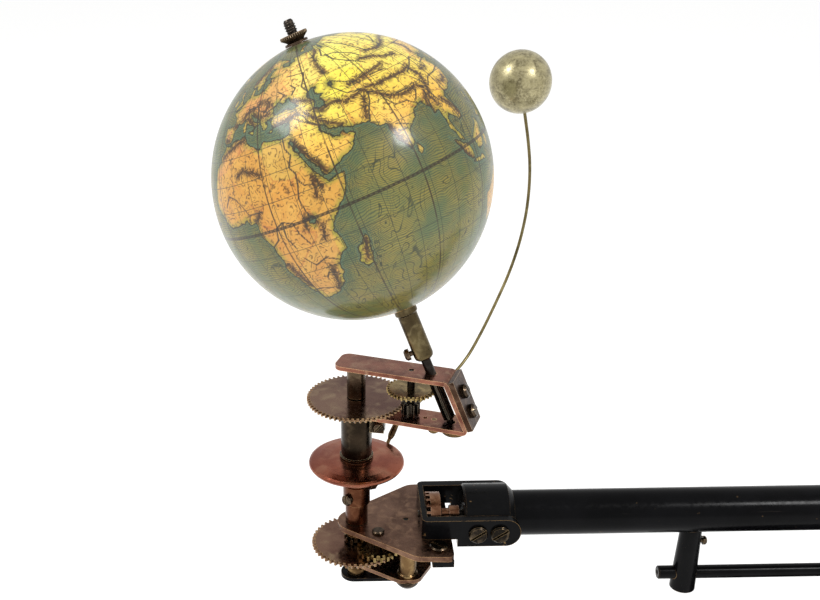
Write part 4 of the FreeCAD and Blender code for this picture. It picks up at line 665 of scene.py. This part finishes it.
def ball_mesh(name, radius, columns, rows):
    """A ball of smooth faces, and the longitude and latitude of each of its points in degrees."""
    longitude = np.arange(columns) * 360 / columns - 180
    latitude = np.arange(1, rows) * 180 / rows - 90
    grid_lon, grid_lat = np.meshgrid(longitude, latitude)
    longitudes = np.append(grid_lon.ravel(), (0, 0))
    latitudes = np.append(grid_lat.ravel(), (-90, 90))
    south, north = len(longitudes) - 2, len(longitudes) - 1
    last = (rows - 2) * columns
    faces = []
    for start in range(0, last, columns):
        above = start + columns
        for column in range(columns):
            following = (column + 1) % columns
            faces.append((start + column, start + following, above + following, above + column))
    for column in range(columns):
        following = (column + 1) % columns
        faces.append((south, following, column))
        faces.append((north, last + column, last + following))
    points = radius * on_unit_ball(longitudes, latitudes)
    return smooth_mesh(name, points.tolist(), faces), longitudes, latitudes


def globe_mesh():
    """A ball whose points carry the map: distance to the coast, to ranges and rivers, and the tint with its
    painted light.
    """
    mesh, longitudes, latitudes = ball_mesh("globe_ball", GLOBE_RADIUS, columns=600, rows=300)
    tints_and_light, border = region_tints_and_light(longitudes, latitudes)
    fields = {
        "coast": land_field(longitudes, latitudes),
        "relief": route_distance(longitudes, latitudes, RANGES),
        "river": route_distance(longitudes, latitudes, RIVERS),
        "border": border,
    }
    for name, values in fields.items():
        mesh.attributes.new(name, "FLOAT", "POINT").data.foreach_set("value", values.astype(np.float32))
    # the stored colour is the printed tint plus painted light on the globe's lit upper side
    colours = np.concatenate([tints_and_light, np.ones((len(tints_and_light), 1))], axis=1)
    mesh.attributes.new("tint_and_light", "FLOAT_COLOR", "POINT").data.foreach_set(
        "color", colours.astype(np.float32).ravel())
    return mesh


def printed_sea(shader, latitude, coast):
    """Green-blue sea with wave hatching, lines along the shore and currents."""
    drift = shader.noise(3.2, 4.0, 0.6)
    stain = shader.noise(2.1, 5.0, 0.65, stretch=(1, 1, 2.2))
    speck = shader.noise(60.0, 4.0, 0.7)
    sea = shader.mix(shader.ramp(drift, 0.36, 0.64), (0.12, 0.17, 0.07), (0.275, 0.255, 0.062))
    sea = shader.lay(sea, (0.34, 0.25, 0.07), shader.ramp(stain, 0.50, 0.72), 0.55)
    sea = shader.lay(sea, (0.33, 0.33, 0.14), shader.ramp(speck, 0.5, 0.8), 0.25)
    swell = shader.math("ADD", latitude, shader.product(shader.noise(4.0, 2.0, 0.5), 8.0))
    hatch = shader.lines(swell, 0.8, 0.16, 0.9)
    sea = shader.lay(sea, (0.035, 0.07, 0.05), hatch, shader.ramp(speck, 0.3, 0.6, 0.35, 0.85))
    shore_lines = shader.lines(coast, 0.72, 0.17, 0.8)
    sea = shader.lay(sea, (0.03, 0.07, 0.06), shore_lines, shader.ramp(coast, -7.0, -0.4), 0.75)
    sea = shader.lay(sea, (0.09, 0.19, 0.15), shader.ramp(coast, -1.6, -0.2), 0.45)
    flow = shader.math("SUBTRACT", shader.noise(2.6, 2.0, 0.5, distortion=1.2), 0.5)
    currents = shader.lines(flow, 0.05, 0.0035, 0.7)
    return shader.lay(sea, (0.03, 0.045, 0.03), currents, shader.ramp(drift, 0.40, 0.6), 0.85)


def printed_land(shader, coast, wobble, tone):
    """Tinted lands with a green rim, red frontiers, hachured ranges, rivers, towns and fine engraving."""
    mottle = shader.noise(34.0, 4.0, 0.7)
    relief = shader.attribute("relief")
    # the region colours read here carry painted light on the globe's lit upper side
    ground = shader.attribute("tint_and_light", "Color")
    ground = shader.lay(ground, (0.90, 0.66, 0.17), shader.ramp(tone, 0.3, 0.7, 0.0, 0.4))
    ground = shader.lay(ground, (0.52, 0.27, 0.07), shader.ramp(mottle, 0.35, 0.75, 0.0, 0.24))
    ground = shader.lay(ground, (0.32, 0.33, 0.05), shader.ramp(coast, 0.2, 2.8, 1.0, 0.0),
                        shader.ramp(tone, 0.25, 0.6, 0.3, 0.95))
    frontier = shader.math("ADD", shader.attribute("border"), shader.product(wobble, 4.0))
    ground = shader.lay(ground, (0.50, 0.17, 0.05), shader.near(frontier, 0.5), 0.5)
    slopes = shader.math("ADD", relief, shader.product(shader.noise(16.0, 6.0, 0.7), 3.0))
    ground = shader.lay(ground, (0.30, 0.16, 0.05), shader.ramp(slopes, 1.6, 3.6, 1.0, 0.0), 0.55)
    strokes = shader.lines(shader.noise(13.0, 1.5, 0.5, distortion=0.4), 0.1, 0.03)
    steep = shader.ramp(slopes, 1.8, 4.4, 1.0, 0.06)
    ground = shader.lay(ground, (0.045, 0.025, 0.012), strokes, steep, 0.92)
    ridge = shader.near(relief, 0.5)
    ground = shader.lay(ground, (0.06, 0.03, 0.012), ridge, shader.ramp(mottle, 0.3, 0.5, 0.4, 1.0), 0.85)
    etched = shader.lines(shader.noise(7.0, 2.5, 0.55), 0.085, 0.0125)
    ground = shader.lay(ground, (0.06, 0.035, 0.015), etched, shader.ramp(mottle, 0.42, 0.58), 0.78)
    stream = shader.near(shader.attribute("river"), 0.34, 0.4)
    ground = shader.lay(ground, (0.035, 0.03, 0.025), stream, 0.9)
    return shader.lay(ground, (0.06, 0.035, 0.02), shader.ramp(shader.spots(22.0), 0.028, 0.05, 0.85, 0.0))


# half the breadth of a graticule line, in degrees at the equator
HALF_LINE = 0.13


def printed_lines(shader, colour, latitude, longitude, width, seam, tone):
    """Colour with the graticule, the gores' seams, the equator's scale and the tropics drawn on it."""
    steepness = shader.math("ABSOLUTE", latitude)
    scale_edge, tropic = 0.42, 23.5
    meridian = shader.math("LESS_THAN", shader.offset(longitude, 10.0), width)
    grid = shader.math("MAXIMUM", shader.lines(latitude, 10.0, HALF_LINE), meridian)
    colour = shader.lay(colour, (0.035, 0.045, 0.03), grid, shader.ramp(steepness, 78.0, 80.0, 0.8, 0.0))
    colour = shader.lay(colour, (0.04, 0.028, 0.016), seam, shader.ramp(tone, 0.3, 0.6, 0.45, 0.9))
    tick = shader.math("GREATER_THAN", shader.math("FRACT", shader.math("DIVIDE", longitude, 2.0)), 0.5)
    ticks = shader.product(shader.near(latitude, scale_edge, 0.2),
                           shader.math("ADD", shader.product(tick, 0.5), 0.4))
    rails = shader.near(shader.math("SUBTRACT", steepness, scale_edge), 0.16)
    colour = shader.lay(colour, (0.03, 0.02, 0.012), shader.math("MAXIMUM", ticks, rails), 0.92)
    dashes = shader.math("GREATER_THAN", shader.math("FRACT", shader.math("DIVIDE", longitude, 3.0)), 0.4)
    near_tropic = shader.near(shader.math("SUBTRACT", steepness, tropic), 0.12)
    return shader.lay(colour, (0.08, 0.05, 0.03), near_tropic, dashes, 0.6)


def globe_look():
    """Printed paper gores under old varnish: sea, tinted lands, engraved lines and a graticule."""
    shader = Shader("globe_paper", Coat_Weight=0.5, Coat_Roughness=0.14, Coat_IOR=1.45,
                    Specular_IOR_Level=0.3)
    shader.place = shader.vector("NORMALIZE", shader.place)
    split = shader.node("SeparateXYZ")
    shader.feed(split.inputs[0], shader.place)
    x, y, z = split.outputs
    latitude = shader.product(shader.math("ARCSINE", z), 180 / math.pi)
    longitude = shader.product(shader.math("ARCTAN2", y, x), 180 / math.pi)
    breadth = shader.math("SQRT", shader.math("SUBTRACT", 1.0, shader.math("POWER", z, 2.0)))
    width = shader.math("DIVIDE", HALF_LINE, shader.math("MAXIMUM", breadth, 0.08))
    seam = shader.math("LESS_THAN", shader.offset(shader.math("ADD", longitude, 12.0), 30.0),
                       shader.product(width, 2.4))
    tone = shader.noise(7.0, 5.0, 0.65)
    wobble = shader.math("SUBTRACT", shader.noise(9.0, 8.0, 0.72), 0.5)
    coast = shader.math("ADD", shader.attribute("coast"), shader.product(wobble, 5.0))
    colour = shader.mix(shader.ramp(coast, -0.12, 0.12), printed_sea(shader, latitude, coast),
                        printed_land(shader, coast, wobble, tone))
    colour = shader.lay(colour, (0.025, 0.025, 0.015), shader.near(coast, 0.27), 0.95)
    colour = printed_lines(shader, colour, latitude, longitude, width, seam, tone)

    # age: yellowed varnish, rubbed and soiled places, and dirt round the poles
    yellow = shader.ramp(shader.noise(1.6, 4.0, 0.6), 0.35, 0.7, 0.55, 1.0)
    colour = shader.mix(yellow, colour, (0.88, 0.74, 0.52), blend="MULTIPLY")
    rubbed = shader.noise(11.0, 7.0, 0.75)
    colour = shader.lay(colour, (0.42, 0.38, 0.22), shader.ramp(rubbed, 0.60, 0.74, 0.0, 0.3))
    colour = shader.lay(colour, (0.13, 0.085, 0.045), shader.ramp(rubbed, 0.24, 0.40, 0.45, 0.0))
    polar = shader.ramp(shader.math("ABSOLUTE", latitude), 80.0, 85.5, 0.0, 0.75)
    shader.set("Base Color", shader.lay(colour, (0.14, 0.11, 0.075), polar))
    shader.set("Roughness", shader.ramp(rubbed, 0.3, 0.7, 0.32, 0.5))
    crackle = shader.math("ADD", shader.product(shader.noise(45.0, 5.0, 0.7), 0.5),
                          shader.product(shader.noise(6.0, 3.0, 0.5), 1.2))
    shader.bump(shader.math("SUBTRACT", crackle, shader.product(seam, 0.3)), 0.06 * MM, 0.5)
    return shader.material


def axis_matrix(centre, axis, spin=0.0):
    """Local Z along axis at centre, turned about it by spin degrees."""
    level = math.atan2(-axis.y, -axis.x)
    lean = -math.acos(max(-1.0, min(1.0, axis.z)))
    turn = (Matrix.Rotation(level, 4, "Z") @ Matrix.Rotation(lean, 4, "Y")
            @ Matrix.Rotation(math.radians(spin), 4, "Z"))
    return Matrix.Translation(centre) @ turn


def add_object(name, data):
    item = bpy.data.objects.new(name, data)
    bpy.context.scene.collection.objects.link(item)
    return item


def add_piece(name, mesh, material, body, matrix, replaces=()):
    """Put a mesh in the scene as a piece of the object."""
    item = add_object(name, mesh)
    item.matrix_world = matrix
    mesh.materials.append(material)
    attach(item, body)
    if replaces:
        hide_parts(*replaces)


# degrees by which the map is turned about the globe's axis
GLOBE_SPIN = -118.0


def make_globe():
    add_piece("printed_globe", globe_mesh(), globe_look(), "earth",
              axis_matrix(GLOBE_CENTRE, GLOBE_AXIS, GLOBE_SPIN), replaces=("globe",))


# ---------------------------------------------------------------- turned details

def around(radius, angle, height):
    """A point round the local Z axis, from millimetres."""
    return (radius * MM * math.cos(angle), radius * MM * math.sin(angle), height * MM)


def lathe_mesh(name, rows, steps, ripple):
    """A closed turned mesh from (radius, height) rows in millimetres; ripple changes a radius by angle."""
    points = []
    for radius, height in rows:
        for step in range(steps):
            angle = 2 * math.pi * step / steps
            points.append(around(ripple(radius, angle), angle, height))
    faces = []
    for row in range(len(rows)):
        start, above = row * steps, ((row + 1) % len(rows)) * steps
        for step in range(steps):
            following = (step + 1) % steps
            faces.append((start + step, start + following, above + following, above + step))
    return smooth_mesh(name, points, faces)


def thread_mesh(name, core, depth, pitch, low, high, steps=36):
    """A helical thread ridge round a stud, in millimetres, that fades out at both ends."""
    count = int((high - low) / pitch * steps)
    root, crest = 0.42 * pitch, 0.08 * pitch
    inner = core - 0.05
    points = []
    for index in range(count + 1):
        angle = 2 * math.pi * index / steps
        height = low + pitch * index / steps
        outer = core + depth * min(1.0, index / steps, (count - index) / steps)
        for reach, rise in ((inner, -root), (outer, -crest), (outer, crest), (inner, root)):
            points.append(around(reach, angle, height + rise))
    faces = []
    for start in range(0, count * 4, 4):
        for corner in range(4):
            following = (corner + 1) % 4
            faces.append((start + corner, start + 4 + corner, start + 4 + following, start + following))
    end = count * 4
    faces.append((3, 2, 1, 0))
    faces.append((end, end + 1, end + 2, end + 3))
    return smooth_mesh(name, points, faces)


NUT_TEETH = 36
NUT_RIM = 5.5
KNURL_DEPTH = 0.6
# radius and height of the nut's outline above the globe's centre, in millimetres
NUT_ROWS = [(2.1, 61.1), (3.6, 61.1), (3.75, 61.25), (4.1, 61.7), (5.55, 62.8), (5.9, 63.05), (5.9, 63.95),
            (5.55, 64.3), (3.4, 64.35), (3.0, 64.2), (2.1, 64.0)]


def knurl(radius, angle):
    """The nut's radius with the rim's grooves cut in."""
    if radius < NUT_RIM:
        return radius
    wave = 0.5 + 0.5 * math.cos(NUT_TEETH * angle)
    return radius - KNURL_DEPTH * (1 - wave ** 0.7)


def make_pole_fittings():
    """The knurled thumb nut and the screw thread at the globe's north end."""
    turn = axis_matrix(GLOBE_CENTRE, GLOBE_AXIS)
    nut = lathe_mesh("knurled_pole_nut", NUT_ROWS, NUT_TEETH * 6, knurl)
    nut.set_sharp_from_angle(angle=math.radians(40))
    add_piece("knurled_pole_nut", nut, LOOKS["nut_bronze"], "earth", turn,
              replaces=("pole_nut",))
    thread = thread_mesh("pole_thread", core=1.95, depth=0.5, pitch=1.1, low=64.4, high=69.2)
    add_piece("pole_thread", thread, LOOKS["dark_steel"], "earth", turn)


# ---------------------------------------------------------------- the Moon

def moon_look():
    """A silvered ball, tarnished and rubbed."""
    shader = Shader("moon_silver", Metallic=0.55, Coat_Weight=0.25, Coat_Roughness=0.2)
    shader.place = shader.vector("NORMALIZE", shader.place)
    broad = shader.noise(2.6, 6.0, 0.68, distortion=0.6)
    fine = shader.noise(14.0, 6.0, 0.72)
    dots = shader.noise(60.0, 3.0, 0.6)
    colour = shader.mix(shader.ramp(broad, 0.36, 0.64), (0.16, 0.135, 0.065), (0.40, 0.35, 0.185))
    colour = shader.lay(colour, (0.54, 0.48, 0.28), shader.ramp(fine, 0.45, 0.68, 0.0, 0.75))
    colour = shader.lay(colour, (0.07, 0.058, 0.035), shader.ramp(fine, 0.28, 0.42, 0.8, 0.0))
    colour = shader.lay(colour, (0.08, 0.065, 0.04), shader.ramp(dots, 0.62, 0.72, 0.0, 0.6))
    shader.set("Base Color", colour)
    shader.set("Roughness", shader.ramp(fine, 0.3, 0.7, 0.42, 0.24))
    shader.bump(shader.math("ADD", fine, shader.product(dots, 0.3)), 0.12 * MM, 0.5)
    return shader.material


def make_moon():
    low, high = (Vector(corner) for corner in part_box("moon"))
    mesh = ball_mesh("silvered_moon", (high.z - low.z) / 2, columns=96, rows=64)[0]
    add_piece("silvered_moon", mesh, moon_look(), "moon_carrier",
              Matrix.Translation((low + high) / 2), replaces=("moon",))


# ---------------------------------------------------------------- stage

def make_stage():
    """A plain pale floor that glows a little, so that it stays even."""
    half = 12.0
    corners = [(-half, -half, 0), (half, -half, 0), (half, half, 0), (-half, half, 0)]
    mesh = bpy.data.meshes.new("floor")
    mesh.from_pydata(corners, [], [(0, 1, 2, 3)])
    shader = Shader("floor_white", Roughness=0.9, Emission_Strength=0.36, Specular_IOR_Level=0.1)
    shader.set("Base Color", (0.76, 0.76, 0.755))
    shader.set("Emission Color", (1.0, 1.0, 1.0))
    mesh.materials.append(shader.material)
    floor = add_object("floor", mesh)


def add_area(name, place, shape, size, power):
    """A soft light that faces a point just below the globe's middle."""
    data = bpy.data.lights.new(name, "AREA")
    data.shape = shape
    data.size = size
    data.energy = power
    item = add_object(name, data)
    item.location = place
    target = GLOBE_CENTRE - Vector((0, 0, 60 * MM))
    item.rotation_euler = (target - Vector(place)).to_track_quat("-Z", "Y").to_euler()


def make_lights():
    world = bpy.data.worlds.new("studio")
    world.use_nodes = True
    background = world.node_tree.nodes["Background"]
    background.inputs["Color"].default_value = (1, 1, 1, 1)
    background.inputs["Strength"].default_value = 0.8
    bpy.context.scene.world = world
    add_area("key", (0.48, -0.66, 1.21), "DISK", 0.32, 7.0)
    add_area("window", (-1.2, -0.15, 1.3), "SQUARE", 0.5, 9.0)


# angles in degrees, offset from the head's axis at the arm's height, and lens and sensor in millimetres
CAMERA_OFFSET = Vector((-13.15, -460.98, 307.32)) * MM
CAMERA_PITCH = 27.286
CAMERA_YAW = 0.389
CAMERA_ROLL = -0.713
SENSOR_WIDTH = 36.0
FOCAL_LENGTH = 48.556
SHIFT = (0.0915, 0.111)


def make_camera():
    data = bpy.data.cameras.new("camera")
    data.sensor_width = SENSOR_WIDTH
    data.lens = FOCAL_LENGTH
    data.shift_x, data.shift_y = SHIFT
    data.clip_start = 10 * MM
    pitch, yaw, roll = (math.radians(angle) for angle in (CAMERA_PITCH, CAMERA_YAW, CAMERA_ROLL))
    ahead = Vector((math.sin(yaw) * math.cos(pitch), math.cos(yaw) * math.cos(pitch), -math.sin(pitch)))
    level = Vector((math.cos(yaw), -math.sin(yaw), 0))
    upward = level.cross(ahead)
    right = level * math.cos(roll) + upward * math.sin(roll)
    above = -level * math.sin(roll) + upward * math.cos(roll)
    matrix = Matrix((right, above, -ahead)).transposed().to_4x4()
    matrix.translation = HEAD_AXIS + CAMERA_OFFSET
    item = add_object("camera", data)
    item.matrix_world = matrix
    bpy.context.scene.camera = item


make_camera()
make_lights()
make_stage()
dress_cad()
make_globe()
make_pole_fittings()
make_moon()
bpy.context.scene.view_settings.view_transform = "Standard"
